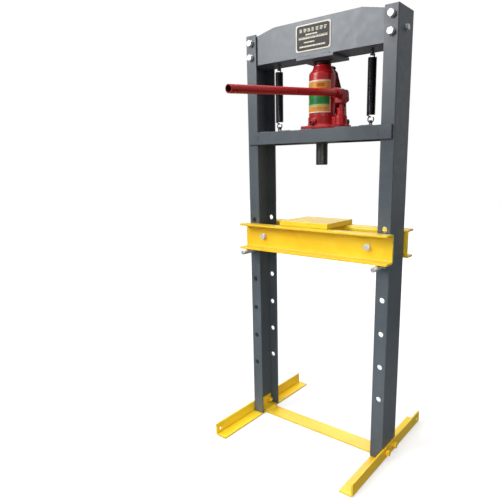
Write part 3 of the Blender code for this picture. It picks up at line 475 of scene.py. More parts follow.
LOOK = {
    "frame": paint("frame_paint", picked(90, 98, 105), picked(79, 88, 95)),
    "head": paint("head_paint", picked(116, 123, 131), picked(107, 114, 122)),
    "yellow": paint("yellow_paint", picked(253, 216, 44), picked(248, 197, 26), 0.36, coat=0.3),
    "body_red": paint("jack_enamel", picked(188, 22, 30), picked(166, 17, 24), 0.26, coat=0.3, sheen=0.4),
    "cast_red": paint("jack_casting_enamel", picked(186, 20, 28), picked(158, 15, 22), 0.36, grain=0.45,
                      coat=0.06, sheen=0.3),
    # darker copy of the jack's red: painted shade on the stay between the body and the pump
    "stay_red_shaded": paint("stay_enamel_painted_shade", picked(124, 13, 20), picked(98, 10, 17), 0.45, sheen=0.2),
    "handle_red": paint("handle_enamel", picked(214, 22, 20), picked(190, 16, 18), 0.30, coat=0.12,
                        sheen=0.35),
    "zinc": metal("zinc_plate", (0.90, 0.91, 0.92), (0.80, 0.81, 0.81), 0.40, scale=500.0, lines=0.15,
                  metallic=0.6),
    "pin": metal("zinc_pin", (0.84, 0.84, 0.84), (0.70, 0.70, 0.69), 0.32, (1, 0.03, 1), 1400.0,
                 metallic=0.7),
    "turned": metal("turned_steel", (0.088, 0.092, 0.084), (0.066, 0.070, 0.062), 0.40, (0.02, 0.02, 1),
                    2400.0, 0.35, (0.08, 0.045, 0.03)),
    "saddle": metal("oiled_steel", (0.070, 0.030, 0.028), (0.045, 0.018, 0.018), 0.50, (0.1, 0.1, 1),
                    1600.0, 0.35, (0.12, 0.05, 0.03)),
    "ground": metal("ground_steel", (0.62, 0.62, 0.61), (0.52, 0.52, 0.51), 0.16, (0.05, 0.05, 1),
                    2600.0, 0.12),
    "spring": metal("black_spring_steel", (0.045, 0.046, 0.050), (0.028, 0.028, 0.030), 0.36,
                    scale=700.0, lines=0.2),
    # near-black lining for recesses and bores: painted shade
    "dark": metal("painted_shade_black", (0.020, 0.019, 0.018), (0.014, 0.013, 0.012), 0.6, scale=600.0, lines=0.2,
                  metallic=0.2),
    "bronze": print_film("nameplate_bronze", picked(36, 32, 25), 0.6),
    "cream": print_film("print_cream", picked(236, 230, 208)),
    "orange": print_film("print_orange", picked(236, 150, 52)),
    "amber": print_film("print_amber", picked(232, 156, 56)),
    "green": print_film("print_green", picked(28, 132, 56)),
    "lime": print_film("print_lime", picked(168, 180, 92)),
    "rust": print_film("print_rust", picked(176, 98, 22)),
    "ink": print_film("print_ink", picked(22, 84, 40)),
    "rubber": rubber("black_rubber", (0.014, 0.014, 0.015)),
}


def paint_on(piece, look):
    piece.data.materials.clear()
    piece.data.materials.append(LOOK[look])


def stand_for(piece, look, node, *more):
    """piece takes the place of CAD nodes that move together, and rides with them."""
    paint_on(piece, look)
    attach(piece, BODY_OF[node])
    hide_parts(node, *more)
    return piece


def turned(node, look, profile, centre=(0, 0, 0), direction=Z_AXIS, segments=72, more=()):
    """A CAD node's place taken by one lathe shape."""
    return stand_for(lathe("fine_" + node, profile, centre, direction, segments), look, node, *more)


def add_to(piece, look, node):
    """piece is an extra detail on a CAD node's body."""
    paint_on(piece, look)
    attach(piece, BODY_OF[node])
    return piece


# ---------------------------------------------------------------- fasteners and welds
def list_bolts():
    """Every bolt's node with the way it points, its shank radius and the width of its head over flats."""
    along_y = (0, 1, 0)
    bolts = {}
    for kind, places, direction, shank_r, flats in (
            ("head_bolt", ("_lower", "_upper"), along_y, 0.006, 0.0165),
            ("head_side_bolt", ("",), None, 0.0045, 0.0135),
            ("foot_bolt", ("_front", "_rear"), None, 0.006, 0.0165),
            ("bed_bolt", ("",), along_y, 0.006, 0.017)):
        for side, word in SIDES:
            for place in places:
                inward = direction or (-side, 0, 0)
                bolts["%s_%s%s" % (kind, word, place)] = (inward, shank_r, flats)
    return bolts


BOLTS = list_bolts()
WASHER_T = 0.002
WASHER_SPAN = 0.575         # washer radius as a share of the head's width over flats
HEAD_SPAN = 1.3             # head height as a share of the shank radius
BOLT_TAIL = 0.003           # thread that stands out of the nut
THREAD_PITCH = 0.0015
THREAD_DEPTH = 0.0007
THREAD_IN = 0.010           # length of thread hidden in the work
HEXAGON_STEPS = 48


def bolt_holes(kind, half_length):
    """Holes for all bolts of one kind, ready for drill()."""
    return [(middle(bolt), direction, shank_r + BOLT_PLAY, half_length)
            for bolt, (direction, shank_r, _) in BOLTS.items() if bolt.startswith(kind)]


def hexagon(flats, base, top, turn=0.0):
    """Solid hexagon head or nut between two heights, chamfered at its top end."""
    inner = flats / 2 * 0.93
    slope = math.tan(math.radians(30.0)) * (1 if top > base else -1)
    bm = bmesh.new()
    rim, edge, foot = [], [], []
    for k in range(HEXAGON_STEPS):
        angle = 2 * math.pi * k / HEXAGON_STEPS
        reach = flats / 2 / math.cos(angle % (math.pi / 3) - math.pi / 6)
        way = Vector((math.cos(angle + turn), math.sin(angle + turn), 0))
        rim.append(bm.verts.new(way * inner + Vector((0, 0, top))))
        edge.append(bm.verts.new(way * reach + Vector((0, 0, top - (reach - inner) * slope))))
        foot.append(bm.verts.new(way * reach + Vector((0, 0, base))))
    bridge(bm, [rim, edge, foot])
    bm.faces.new(rim)
    bm.faces.new(foot[::-1])
    return finish_mesh("hexagon", bm, 25.0)


def build_bolts():
    for node, (direction, shank_r, flats) in BOLTS.items():
        low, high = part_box(node)
        way = Vector(direction)
        length = abs((high - low).dot(way))
        head_h = shank_r * HEAD_SPAN
        start = middle(node) - way * (length / 2 - head_h - WASHER_T)     # outer face of the work
        grip = length - 2 * head_h - 2 * WASHER_T - BOLT_TAIL
        turn = RANDOM.uniform(0, math.pi / 3)
        under = -WASHER_T - 0.001
        end = grip + WASHER_T + head_h + BOLT_TAIL
        stem = [(0, under), (shank_r, under)]
        z = grip - THREAD_IN
        while z < end - THREAD_PITCH:
            stem += [(shank_r, z), (shank_r - THREAD_DEPTH, z + THREAD_PITCH / 2)]
            z += THREAD_PITCH
        stem += [(shank_r, end - 0.0012), (shank_r - 0.0010, end), (0, end)]
        bore, rim = shank_r + 0.0002, flats * WASHER_SPAN
        washer = rounded([(bore, 0), (rim, 0), (rim, -WASHER_T), (bore, -WASHER_T)], 0.0004)
        bolt = join("fine_" + node, [
            hexagon(flats, -WASHER_T, -WASHER_T - head_h, turn),
            hexagon(flats, grip + WASHER_T, grip + WASHER_T + head_h, turn + 0.4),
            lathe("stem", stem, segments=32),
            lathe("washer", washer, segments=48),
            lathe("washer", [(r, grip - h) for r, h in washer], segments=48),
        ])
        bolt.data.transform(Matrix.Translation(start) @ aim(way))
        shade(bolt.data, 28.0)
        stand_for(bolt, "yellow" if node.startswith("foot") else "zinc", node)


BEAD_RIPPLE = 0.0021


def bead(bm, start, end, radius):
    """Weld bead from start to end, its surface rippled like stacked coins."""
    start, end = Vector(start), Vector(end)
    length = (end - start).length
    count = max(6, int(length / 0.0007))
    path, radii = [], []
    wander = start.cross(end).orthogonal().normalized() if start.cross(end).length else Vector((0, 0, 1))
    drift = RANDOM.uniform(0, 6.0)
    for k in range(count + 1):
        t = k / count
        s = t * length
        taper = min(1.0, math.sqrt(max(0.0, min(s, length - s)) / 0.003) + 0.25)
        radii.append(radius * taper * (0.90 + 0.16 * abs(math.sin(math.pi * s / BEAD_RIPPLE))))
        path.append(start.lerp(end, t) + wander * 0.0002 * math.sin(s * 410.0 + drift))
    wire(bm, path, radii, 10)


def welds(name, look, node, lines, radius=0.0022):
    """One object from several weld beads on a node's body."""
    bm = bmesh.new()
    for start, end in lines:
        bead(bm, start, end, radius)
    return add_to(finish_mesh(name, bm, 60.0), look, node)


# ---------------------------------------------------------------- sheet and plate shapes
BEND_STEPS = 8
ANGLE_BEND_STEPS = 6


def channel(depth, flange, thick, bend):
    """Outline of a bent C: web on v = 0, flange tips at v = flange, centred on u = 0."""
    half = depth / 2
    outer = [(-half, flange)] + arc((-half + bend, bend), bend, 180, 270, BEND_STEPS)
    outer += arc((half - bend, bend), bend, 270, 360, BEND_STEPS) + [(half, flange)]
    inner_bend = max(bend - thick, SHARPEST_BEND)
    near = half - thick - inner_bend
    deep = thick + inner_bend
    inner = [(half - thick, flange)] + arc((near, deep), inner_bend, 360, 270, BEND_STEPS)
    inner += arc((-near, deep), inner_bend, 270, 180, BEND_STEPS) + [(-half + thick, flange)]
    return outer + inner


def angle_iron(leg_u, leg_v, thick, bend):
    """Outline of a bent L with its outer corner at (0, 0)."""
    centre = (bend, bend)
    outer = [(0, leg_v)] + arc(centre, bend, 180, 270, ANGLE_BEND_STEPS) + [(leg_u, 0)]
    inner = [(leg_u, thick)] + arc(centre, bend - thick, 270, 180, ANGLE_BEND_STEPS) + [(thick, leg_v)]
    return outer + inner


def ribbon(path, thick):
    """Outline of a strip of constant thickness along a path."""
    points = [Vector(p) for p in path]
    left, right = [], []
    for k, point in enumerate(points):
        before = (point - points[k - 1]).normalized() if k else (points[1] - point).normalized()
        after = (points[k + 1] - point).normalized() if k < len(points) - 1 else before
        bisector = (before + after).normalized()
        normal = Vector((-bisector.y, bisector.x))
        reach = thick / 2 / max(0.3, bisector.dot(before))
        left.append(tuple(point + normal * reach))
        right.append(tuple(point - normal * reach))
    return left + right[::-1]


def plate(node, look, width=EDGE, holes=()):
    """Flat plate with rolled edges in a CAD node's own box."""
    low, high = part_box(node)
    piece = soften(block("fine_" + node, low, high), width)
    if holes:
        drill(piece, holes)
    return stand_for(even(piece), look, node)


# ---------------------------------------------------------------- frame
def build_uprights():
    pin = middle("bed_pin_left")
    for side, word in SIDES:
        node = "upright_" + word
        low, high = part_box(node)
        web = side * max(side * low.x, side * high.x)
        shape = channel(high.y - low.y, high.x - low.x, WALL, UPRIGHT_BEND)
        outline = [(web - side * v, u) for u, v in shape]
        post = soften(prism("fine_" + node, outline, "Z", low.z, high.z))
        holes = []
        for step in PIN_HOLE_STEPS:
            place = (side * abs(pin.x), 0, pin.z + step * PIN_HOLE_PITCH)
            holes.append((place, (0, 1, 0), PIN_HOLE_R, THROUGH))
        holes += bolt_holes("head_bolt_" + word, THROUGH)
        holes += bolt_holes("head_side_bolt_" + word, ONE_WALL)
        holes += bolt_holes("foot_bolt_" + word, ONE_WALL)
        drill(post, holes)
        stand_for(even(post), "frame", node)


def build_feet():
    for side, word in SIDES:
        node = "foot_" + word
        low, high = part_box(node)
        outer = side * max(side * low.x, side * high.x)
        shape = angle_iron(high.x - low.x, high.z, WALL, FOOT_BEND)
        outline = [(outer - side * u, v) for u, v in shape]
        foot = soften(prism("fine_" + node, outline, "Y", low.y, high.y))
        holes = bolt_holes("foot_bolt_" + word, ONE_WALL)
        end_hole = (outer, side * (high.y - FOOT_END_HOLE_IN), holes[0][0].z - FOOT_END_HOLE_DROP)
        drill(foot, holes + [(end_hole, (1, 0, 0), FOOT_END_HOLE_R, ONE_WALL)])
        stand_for(even(foot), "yellow", node)

    low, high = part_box("foot_brace")
    tab_x = high.x - WALL / 2
    floor, raised = WALL / 2, WALL * 1.5 + GAP
    right = [(BRACE_FLAT_X, floor), (BRACE_RAISED_X, raised), (tab_x, raised), (tab_x, high.z)]
    path = rounded([(-x, z) for x, z in right[::-1]] + right, BRACE_BEND, closed=False)
    bar = prism("fine_foot_brace", ribbon(path, WALL), "Y", -BRACE_HALF_D, BRACE_HALF_D)
    soften(bar, 0.0005)
    tabs = []
    for side in (-1, 1):
        x = sorted((side * (tab_x - WALL / 2), side * high.x))
        tabs.append(soften(block("tab", (x[0], low.y, raised), (x[1], high.y, high.z)), 0.0005))
    boolean(bar, tabs, "UNION")
    drill(bar, bolt_holes("foot_bolt", ONE_WALL))
    stand_for(even(bar), "yellow", "foot_brace")


def build_head():
    floor_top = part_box("head_bottom_plate")[1].z
    beads = []
    for node in ("head_front_plate", "head_rear_plate"):
        low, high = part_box(node)
        end_top = high.z - HEAD_SLOPE
        outline = [(low.x, low.z), (high.x, low.z), (high.x, end_top), (HEAD_FLAT_HALF, high.z),
                   (-HEAD_FLAT_HALF, high.z), (low.x, end_top)]
        sheet = soften(prism("fine_" + node, outline, "Y", low.y, high.y), 0.0009)
        drill(sheet, bolt_holes("head_bolt", HEAD_DRILL))
        stand_for(even(sheet), "head", node)
        inner = low.y if node == "head_rear_plate" else high.y
        for x in (-0.19, -0.09, 0.03, 0.13):
            beads.append(((x, inner, floor_top), (x + 0.05, inner, floor_top)))
    for side, word in SIDES:
        node = "head_end_plate_" + word
        plate(node, "head", holes=bolt_holes("head_side_bolt_" + word, ONE_WALL))
        low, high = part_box(node)
        x = low.x if side > 0 else high.x
        for y in (low.y, high.y):
            beads.append(((x, y, low.z + 0.012), (x, y, low.z + 0.030)))
            beads.append(((x, y, high.z - 0.028), (x, y, high.z - 0.010)))

    low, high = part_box("head_bottom_plate")
    sheet_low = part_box("head_front_plate")[0].z + GAP
    sheet = soften(block("fine_head_bottom_plate", (low.x, low.y, sheet_low), high), 0.0006)
    boolean(sheet, spring_eyes(low.z, sheet_low + TUCK, low.z + EYE_IN, HEAD_EYE_R), "UNION")
    stand_for(even(sheet), "head", "head_bottom_plate")
    welds("head_welds", "head", "head_bottom_plate", beads)

    low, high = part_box("jack_bearing_plate")
    pad_low = high.z - PAD_T
    pad = soften(block("fine_jack_bearing_plate", (low.x, low.y, pad_low), high), 0.0009)
    inner, outer = RING
    ring = rounded([(inner, low.z), (outer, low.z), (outer, pad_low + TUCK), (inner, pad_low + TUCK)],
                   0.0008)
    boolean(pad, [lathe("ring", ring)], "UNION")
    stand_for(even(pad), "head", "jack_bearing_plate")
    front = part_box("head_front_plate")[0].y
    lines = [((x, s * front, high.z + 0.0008), (x + 0.030, s * front, high.z + 0.0008))
             for s in (-1, 1) for x in (-0.052, 0.020)]
    welds("bearing_welds", "head", "jack_bearing_plate", lines, 0.0024)


def spring_eyes(low, high, hole_z, hole_r):
    """The two drilled tabs that a pair of springs hooks into, still loose."""
    eyes = []
    for side in (-1, 1):
        x = side * abs(middle("return_spring_left").x)
        outline = rounded(rectangle(-EYE_HALF_W, EYE_HALF_W, low, high), 0.004)
        eye = soften(prism("eye", outline, "X", x - EYE_T / 2, x + EYE_T / 2), 0.0005)
        eyes.append(drill(eye, [((x, 0, hole_z), (1, 0, 0), hole_r, 0.01)], 28))
    return eyes


NAME_T = 0.0011
NAME_INSET = 0.0034         # width of the nameplate's cream rim
NAME_CORNER = 0.006
FILM_T = 0.00012            # enamel of the panel
PRINT_T = 0.00028           # height of the bars on it
NAME_COLUMNS = 7            # stacks of three bars each along its top
NAME_COLUMN_PITCH = 0.0134
NAME_LINES = (              # height, thickness, then where each line of bars starts and ends, -1 to 1
    (0.0065, 0.0034, -0.50, 0.30),
    (-0.0030, 0.0036, -0.98, 0.98),
    (-0.0135, 0.0034, -0.62, 0.10),
    (-0.0245, 0.0040, -0.92, 0.85),
)


def build_nameplate():
    """Bronze plate with a cream rim, plain cream bars in place of its lettering, and four rivets."""
    low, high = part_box("nameplate")
    back = high.y
    mid = (low + high) / 2
    half_w, half_h = (high.x - low.x) / 2, (high.z - low.z) / 2

    def sheet(name, x0, x1, z0, z1, corner, thick, start):
        outline = rounded(rectangle(mid.x + x0, mid.x + x1, mid.z + z0, mid.z + z1), corner, steps=6)
        return prism(name, outline, "Y", start - thick, start)

    def bar(x0, x1, z0, z1, corner=0.0003):
        return sheet("bar", x0, x1, z0, z1, corner, PRINT_T, back - NAME_T - FILM_T)

    base = sheet("fine_nameplate", -half_w, half_w, -half_h, half_h, NAME_CORNER, NAME_T, back)
    stand_for(even(soften(base, 0.0002)), "cream", "nameplate")
    panel_w, panel_h = half_w - NAME_INSET, half_h - NAME_INSET
    panel = sheet("nameplate_panel", -panel_w, panel_w, -panel_h, panel_h, NAME_CORNER + 0.001, FILM_T,
                  back - NAME_T)
    add_to(panel, "bronze", "nameplate")
    bars = []
    inner = panel_w - 0.006
    for k in range(NAME_COLUMNS):
        x = -inner + 0.004 + k * NAME_COLUMN_PITCH
        for row in range(3):
            z = 0.0155 + row * 0.0033
            bars.append(bar(x, x + RANDOM.uniform(0.006, 0.0095), z, z + 0.0019))
    for z, tall, start, end in NAME_LINES:
        x = start * inner
        while x < end * inner - 0.003:
            wide = min(RANDOM.uniform(0.0025, 0.0080), end * inner - x)
            bars.append(bar(x, x + wide, z, z + tall))
            x += wide + 0.0011
    bars.append(bar(-inner, inner, 0.0022, 0.0029, 0.0002))
    add_to(join("nameplate_print", bars), "cream", "nameplate")
    dome = [(0, 0)] + [(0.0021 * math.cos(a), 0.0012 + 0.0009 * math.sin(a))
                       for a in (0, 0.4, 0.8, 1.2)] + [(0, 0.0021)]
    corner_x, corner_z = half_w - 0.0048, half_h - 0.0048
    rivets = [lathe("rivet", dome, (mid.x + sx * corner_x, back, mid.z + sz * corner_z), (0, -1, 0), 24)
              for sx in (-1, 1) for sz in (-1, 1)]
    add_to(join("nameplate_rivets", rivets), "zinc", "nameplate")


# ---------------------------------------------------------------- bolster, press pin and springs
TENON_R = 0.012             # neck of the press pin that sits in the bolster's bottom plate
GROOVE_LOW = 0.0480         # ring groove of the press pin, above its nose
GROOVE_HIGH = 0.0508


def build_bolster():
    for node in ("bolster_front_plate", "bolster_rear_plate", "bolster_guide_left", "bolster_guide_right"):
        plate(node, "frame", 0.0008)
    front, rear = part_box("bolster_front_plate"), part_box("bolster_rear_plate")
    top = front[1].z
    low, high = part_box("bolster_top_plate")
    deck = soften(block("fine_bolster_top_plate", low, (high.x, high.y, top)), 0.0006)
    boolean(deck, spring_eyes(top - TUCK, high.z, high.z - EYE_IN, BOLSTER_EYE_R), "UNION")
    stand_for(even(deck), "frame", "bolster_top_plate")
    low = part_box("bolster_bottom_plate")[0]
    bore = ((0, 0, low.z), Z_AXIS, TENON_R + GAP, 0.05)
    plate("bolster_bottom_plate", "frame", 0.0006, [bore])

    marks = []
    weld_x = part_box("bolster_guide_right")[1].x - 0.0035
    for x in (-weld_x, weld_x):
        for y in (front[0].y + 0.0013, rear[1].y - 0.0013):
            marks.append(((x, y, front[0].z + 0.007), (x, y, front[1].z - 0.007)))
    welds("bolster_plug_welds", "frame", "bolster_front_plate", marks)
    seams = []
    for y in (front[1].y, rear[0].y):
        for x in (-0.200, -0.120, -0.045, 0.070, 0.145):
            seams.append(((x, y, top + 0.0003), (x + 0.040, y, top + 0.0003)))
    for side in (-1, 1):
        for edge in (-0.0018, 0.0018):
            x = side * abs(middle("return_spring_left").x) + edge
            seams.append(((x, -0.007, top), (x, 0.007, top)))
    welds("bolster_seam_welds", "frame", "bolster_top_plate", seams, 0.0018)

    low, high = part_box("press_pin")
    r = high.x
    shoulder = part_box("bolster_bottom_plate")[0].z - GAP
    profile = [(0, low.z), (r - 0.0018, low.z), (r, low.z + 0.0018)]
    profile += groove(r, low.z + GROOVE_LOW, low.z + GROOVE_HIGH, 0.0006, 0.0008)
    profile += [(r, shoulder - 0.0008), (r - 0.0008, shoulder), (TENON_R, shoulder),
                (TENON_R, high.z - 0.001), (TENON_R - 0.001, high.z), (0, high.z)]
    turned("press_pin", "turned", profile, segments=96)
    ring_weld("press_pin_weld", "frame", "press_pin", r + 0.0006, shoulder - 0.0004, 0.0019, 32)


def ring_weld(name, look, node, radius, z, thick, ripples, sides=10):
    """Weld bead around the jack's axis."""
    angles = [2 * math.pi * k / ripples for k in range(ripples + 1)]
    bm = bmesh.new()
    wire(bm, [(radius * math.cos(a), radius * math.sin(a), z) for a in angles],
         [thick * (0.9 + 0.2 * (k % 2)) for k in range(ripples + 1)], sides)
    add_to(finish_mesh(name, bm, 60.0), look, node)


WIRE_R = 0.0016
COIL_R = 0.0105             # from a spring's axis to the middle of its wire
COIL_PITCH = 0.0034
COIL_STEPS = 22             # points in one turn
NECK_R = 0.006              # where the wire leaves the hook for the coil
NECK_STEPS = 9
LOW_HOOK_R = 0.0085
TOP_HOOK_R = 0.0062


def build_springs():
    """Close-wound extension springs whose ends are bent to hooks."""
    for side, word in SIDES:
        node = "return_spring_" + word
        x = middle(node).x
        low_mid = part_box("bolster_top_plate")[1].z - EYE_IN + BOLSTER_EYE_R - WIRE_R - GAP + LOW_HOOK_R
        top_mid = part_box("head_bottom_plate")[0].z + EYE_IN - HEAD_EYE_R + WIRE_R + GAP - TOP_HOOK_R
        coil_low, coil_high = low_mid + 0.0115, top_mid - 0.0050
        path = [(x + u, 0.0, v) for u, v in arc((0, low_mid), LOW_HOOK_R, 40, -235, 26)]
        neck_z = path[-2][2]
        for k in range(1, NECK_STEPS + 1):
            t = k / (NECK_STEPS + 1)
            angle = math.pi + (t - 1) * 1.2
            radius = NECK_R + (COIL_R - NECK_R) * t
            path.append((x + radius * math.cos(angle), radius * math.sin(angle),
                         neck_z + (coil_low - neck_z) * t))
        steps = round((coil_high - coil_low) / COIL_PITCH) * COIL_STEPS
        for k in range(steps + 1):
            angle = math.pi + 2 * math.pi * k / COIL_STEPS
            path.append((x + COIL_R * math.cos(angle), COIL_R * math.sin(angle),
                         coil_low + (coil_high - coil_low) * k / steps))
        last = Vector(path[-1])
        hook = [(x + u, 0.0, v) for u, v in arc((0, top_mid), TOP_HOOK_R, -130, 175, 24)]
        for k in range(1, 7):
            curve = last.lerp(hook[0], k / 7)
            curve.y -= 0.004 * math.sin(math.pi * k / 7)
            path.append(tuple(curve))
        bm = bmesh.new()
        wire(bm, path + hook, WIRE_R, 8)
        spring = finish_mesh("fine_" + node, bm, 60.0)
        paint_on(spring, "spring")
        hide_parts(node)
        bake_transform(spring)


# ---------------------------------------------------------------- bed
SPACER_BORE_R = 0.0075
PIN_GROOVE = 0.010          # ring groove of a bed pin, from its front end


def build_bed():
    for side, word in ((-1, "front"), (1, "rear")):
        node = "bed_%s_channel" % word
        low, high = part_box(node)
        web = high.y if side < 0 else low.y
        mid = (low.z + high.z) / 2
        shape = channel(high.z - low.z, high.y - low.y, BED_WALL, BED_BEND)
        outline = [(web + side * v, mid + u) for u, v in shape]
        rail = soften(prism("fine_" + node, outline, "X", low.x, high.x), 0.0009)
        stand_for(even(drill(rail, bolt_holes("bed_bolt", THROUGH))), "yellow", node)
    for side, word in SIDES:
        for node in ("bed_spacer_" + word, "bed_pin_" + word):
            low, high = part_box(node)
            r = (high.x - low.x) / 2
            centre = (middle(node).x, 0, middle(node).z)
            if "spacer" in node:
                tube = rounded(rectangle(SPACER_BORE_R, r, low.y, high.y), 0.0006)
                turned(node, "yellow", tube, centre, (0, 1, 0), 48)
                continue
            ring = low.y + PIN_GROOVE
            pin = [(0, low.y), (r - 0.002, low.y), (r, low.y + 0.0016)]
            pin += groove(r, ring, ring + 0.0024, 0.0009, 0.0006)
            pin += [(r, high.y - 0.003), (r - 0.002, high.y), (0, high.y)]
            turned(node, "pin", pin, centre, (0, 1, 0), 56)
    plate("arbor_plate", "yellow", 0.0011)


# ---------------------------------------------------------------- hydraulic jack
JACK_R = 0.039
DOME_W = 0.0065             # the reservoir's shoulder
DOME_H = 0.0095
DOME_END = 75               # degrees
DECK_T = 0.010
SEAT_R = 0.041              # round seat of the reservoir on the base
BASE_FRONT_END = 0.050      # where the sole starts to narrow towards the pump
BASE_REAR_END = 0.062
BASE_NOSE = (-0.022, 0.026)
CYLINDER_R = 0.0303         # bores that hold the pressure cylinder
PUMP_STEM_R = 0.0100        # foot of the pump cylinder, in the base
LUG = (0.0115, 0.004, 0.0290)   # half width, front and rear of the link's bracket
LUG_SLOT = (0.0058, 0.0135)     # half width and front of the gap in it
LUG_RISE = 0.008            # above the link's pivot
PIN_R = 0.004               # pivots of the pump linkage
VALVE_STEM_R = 0.004
VALVE_FRONT = 0.047         # face of the release valve's boss, in front of the jack's axis
VALVE_PAD = 0.0095          # half width of the block behind that boss
OVER_BASE = 1.05            # height that clears the base, where its upright cutters end


def build_jack_base():
    low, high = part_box("jack_base")
    deck = low.z + DECK_T
    seat_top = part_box("jack_reservoir")[0].z - GAP
    pump_x = middle("pump_cylinder").x
    link = Vector(JOINT["link_rock"]["pos_m"])
    valve = Vector(JOINT["release_valve_turn"]["pos_m"])
    sunk = deck - 0.004
    foot = rounded([(low.x, low.y), (BASE_FRONT_END, low.y), (high.x, BASE_NOSE[0]), (high.x, BASE_NOSE[1]),
                    (BASE_REAR_END, high.y), (low.x, high.y)], 0.012, steps=6)
    base = prism("fine_jack_base", foot, "Z", low.z, deck)
    seat = [(0, sunk), (SEAT_R + 0.0045, sunk), (SEAT_R + 0.0035, deck + 0.001),
            (SEAT_R + 0.001, deck + 0.004), (SEAT_R, deck + 0.008), (SEAT_R, seat_top), (0, seat_top)]
    boss = [(0, sunk), (0.019, sunk), (0.0178, deck + 0.003), (0.0172, seat_top - 0.002),
            (0.0155, seat_top + 0.002), (0, seat_top + 0.002)]
    valve_boss = [(0, 0.030), (0.0120, 0.030), (0.0105, 0.044), (0.0098, VALVE_FRONT), (0, VALVE_FRONT)]
    lug_half, lug_front, lug_rear = LUG
    slot_half, slot_front = LUG_SLOT
    boolean(base, [
        lathe("seat", seat, segments=96),
        lathe("boss", boss, (pump_x, 0, 0), segments=48),
        block("web", (0.030, -0.011, sunk), (pump_x, 0.011, seat_top - 0.001)),
        block("lug", (pump_x - lug_half, lug_front, sunk), (pump_x + lug_half, lug_rear, link.z + LUG_RISE)),
        lathe("valve_boss", valve_boss, (valve.x, 0, valve.z), (0, -1, 0), 40),
        block("valve_pad", (valve.x - VALVE_PAD, -0.0455, sunk),
              (valve.x + VALVE_PAD, -0.034, valve.z + VALVE_PAD)),
    ], "UNION")
    cast(base, 0.0011, 5)
    boolean(base, [
        rod("seat_bore", (0, 0, 0), Z_AXIS, CYLINDER_R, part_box("jack_cylinder")[0].z - GAP, OVER_BASE, 72),
        rod("pump_bore", (pump_x, 0, 0), Z_AXIS, PUMP_STEM_R + GAP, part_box("pump_cylinder")[0].z - GAP,
            OVER_BASE, 40),
        block("link_slot", (pump_x - slot_half, slot_front, sunk - 0.002),
              (pump_x + slot_half, 0.040, OVER_BASE)),
        rod("pin_hole", link, (1, 0, 0), PIN_R + GAP, -0.02, 0.02, 32),
        rod("valve_bore", (valve.x, 0, valve.z), (0, -1, 0), VALVE_STEM_R + GAP, 0.0365, 0.07, 40),
        block("sole", (-0.2, -0.2, low.z - 0.02), (0.2, 0.2, low.z)),
    ], sharp=50.0)
    stand_for(base, "cast_red", "jack_base")


PLUG_R = 0.0050
MOUTH_R = 0.0332            # opening at the reservoir's top
SHELL_T = 0.003


def build_reservoir():
    low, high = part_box("jack_reservoir")
    side_top = high.z - DOME_H * math.sin(math.radians(DOME_END))
    dome = [(JACK_R - DOME_W + u, side_top + v * DOME_H / DOME_W)
            for u, v in arc((0, 0), DOME_W, 0, DOME_END, 12)]
    inside = [(r - 0.0026, z - 0.0028) for r, z in dome[::-1]]
    shell = [(JACK_R - SHELL_T, low.z), (JACK_R - 0.0008, low.z), (JACK_R, low.z + 0.0008)]
    shell += groove(JACK_R, low.z + 0.0060, low.z + 0.0088, 0.0006, 0.0008) + dome
    shell += [(MOUTH_R, high.z), (MOUTH_R, high.z - 0.0035)] + inside[1:]
    reservoir = lathe("fine_jack_reservoir", shell, segments=128)
    plug_place = (-JACK_R, 0, middle("filler_plug").z)
    drill(reservoir, [(plug_place, (1, 0, 0), PLUG_R + 0.0005, 0.01)])
    stand_for(reservoir, "body_red", "jack_reservoir")
    plug = [(0, -0.0055), (PLUG_R - 0.0005, -0.0055), (PLUG_R, -0.0035), (PLUG_R, 0.0008)]
    plug += rounded([(PLUG_R, 0.0008), (0.0078, 0.0008), (0.0074, 0.0036), (0.0030, 0.0044)], 0.0008,
                    closed=False) + [(0, 0.0040)]
    turned("filler_plug", "rubber", plug, plug_place, (-1, 0, 0), 40)
    ring_weld("cap_weld", "body_red", "jack_reservoir", MOUTH_R + 0.0003, high.z + 0.0003, 0.0011, 96, 8)


CONE_DROP = 0.0160          # height of the cap's cone and collar
COLLAR_R = 0.0263
RAM_R = 0.0200
CAP_BORE_R = RAM_R + 0.0006
SCREW_R = 0.0132
SOCKET_FLOOR = 1.030        # end of the bore in the ram that takes the extension screw


def build_cap():
    low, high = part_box("jack_top_cap")
    skirt_r = high.x
    cone_z = high.z - CONE_DROP
    cylinder_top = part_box("jack_cylinder")[1].z + GAP
    corners = [(CYLINDER_R, low.z), (skirt_r, low.z), (skirt_r, cone_z), (skirt_r - 0.0016, cone_z + 0.0006),
               (COLLAR_R, high.z - 0.0030), (COLLAR_R, high.z - 0.0008), (COLLAR_R - 0.0016, high.z),
               (CAP_BORE_R + 0.0008, high.z), (CAP_BORE_R, high.z - 0.001), (CAP_BORE_R, cylinder_top),
               (CYLINDER_R, cylinder_top)]
    cap = lathe("fine_jack_top_cap", rounded(corners, 0.0009, steps=3), segments=128)
    notches = []
    for k in range(6):
        angle = 2 * math.pi * (k + 0.5) / 6
        spot = (0.0338 * math.cos(angle), 0.0338 * math.sin(angle), 0)
        notches.append(rod("notch", spot, Z_AXIS, 0.0036, cone_z + 0.0040, high.z + 0.01, 24))
    stand_for(boolean(cap, notches), "body_red", "jack_top_cap")


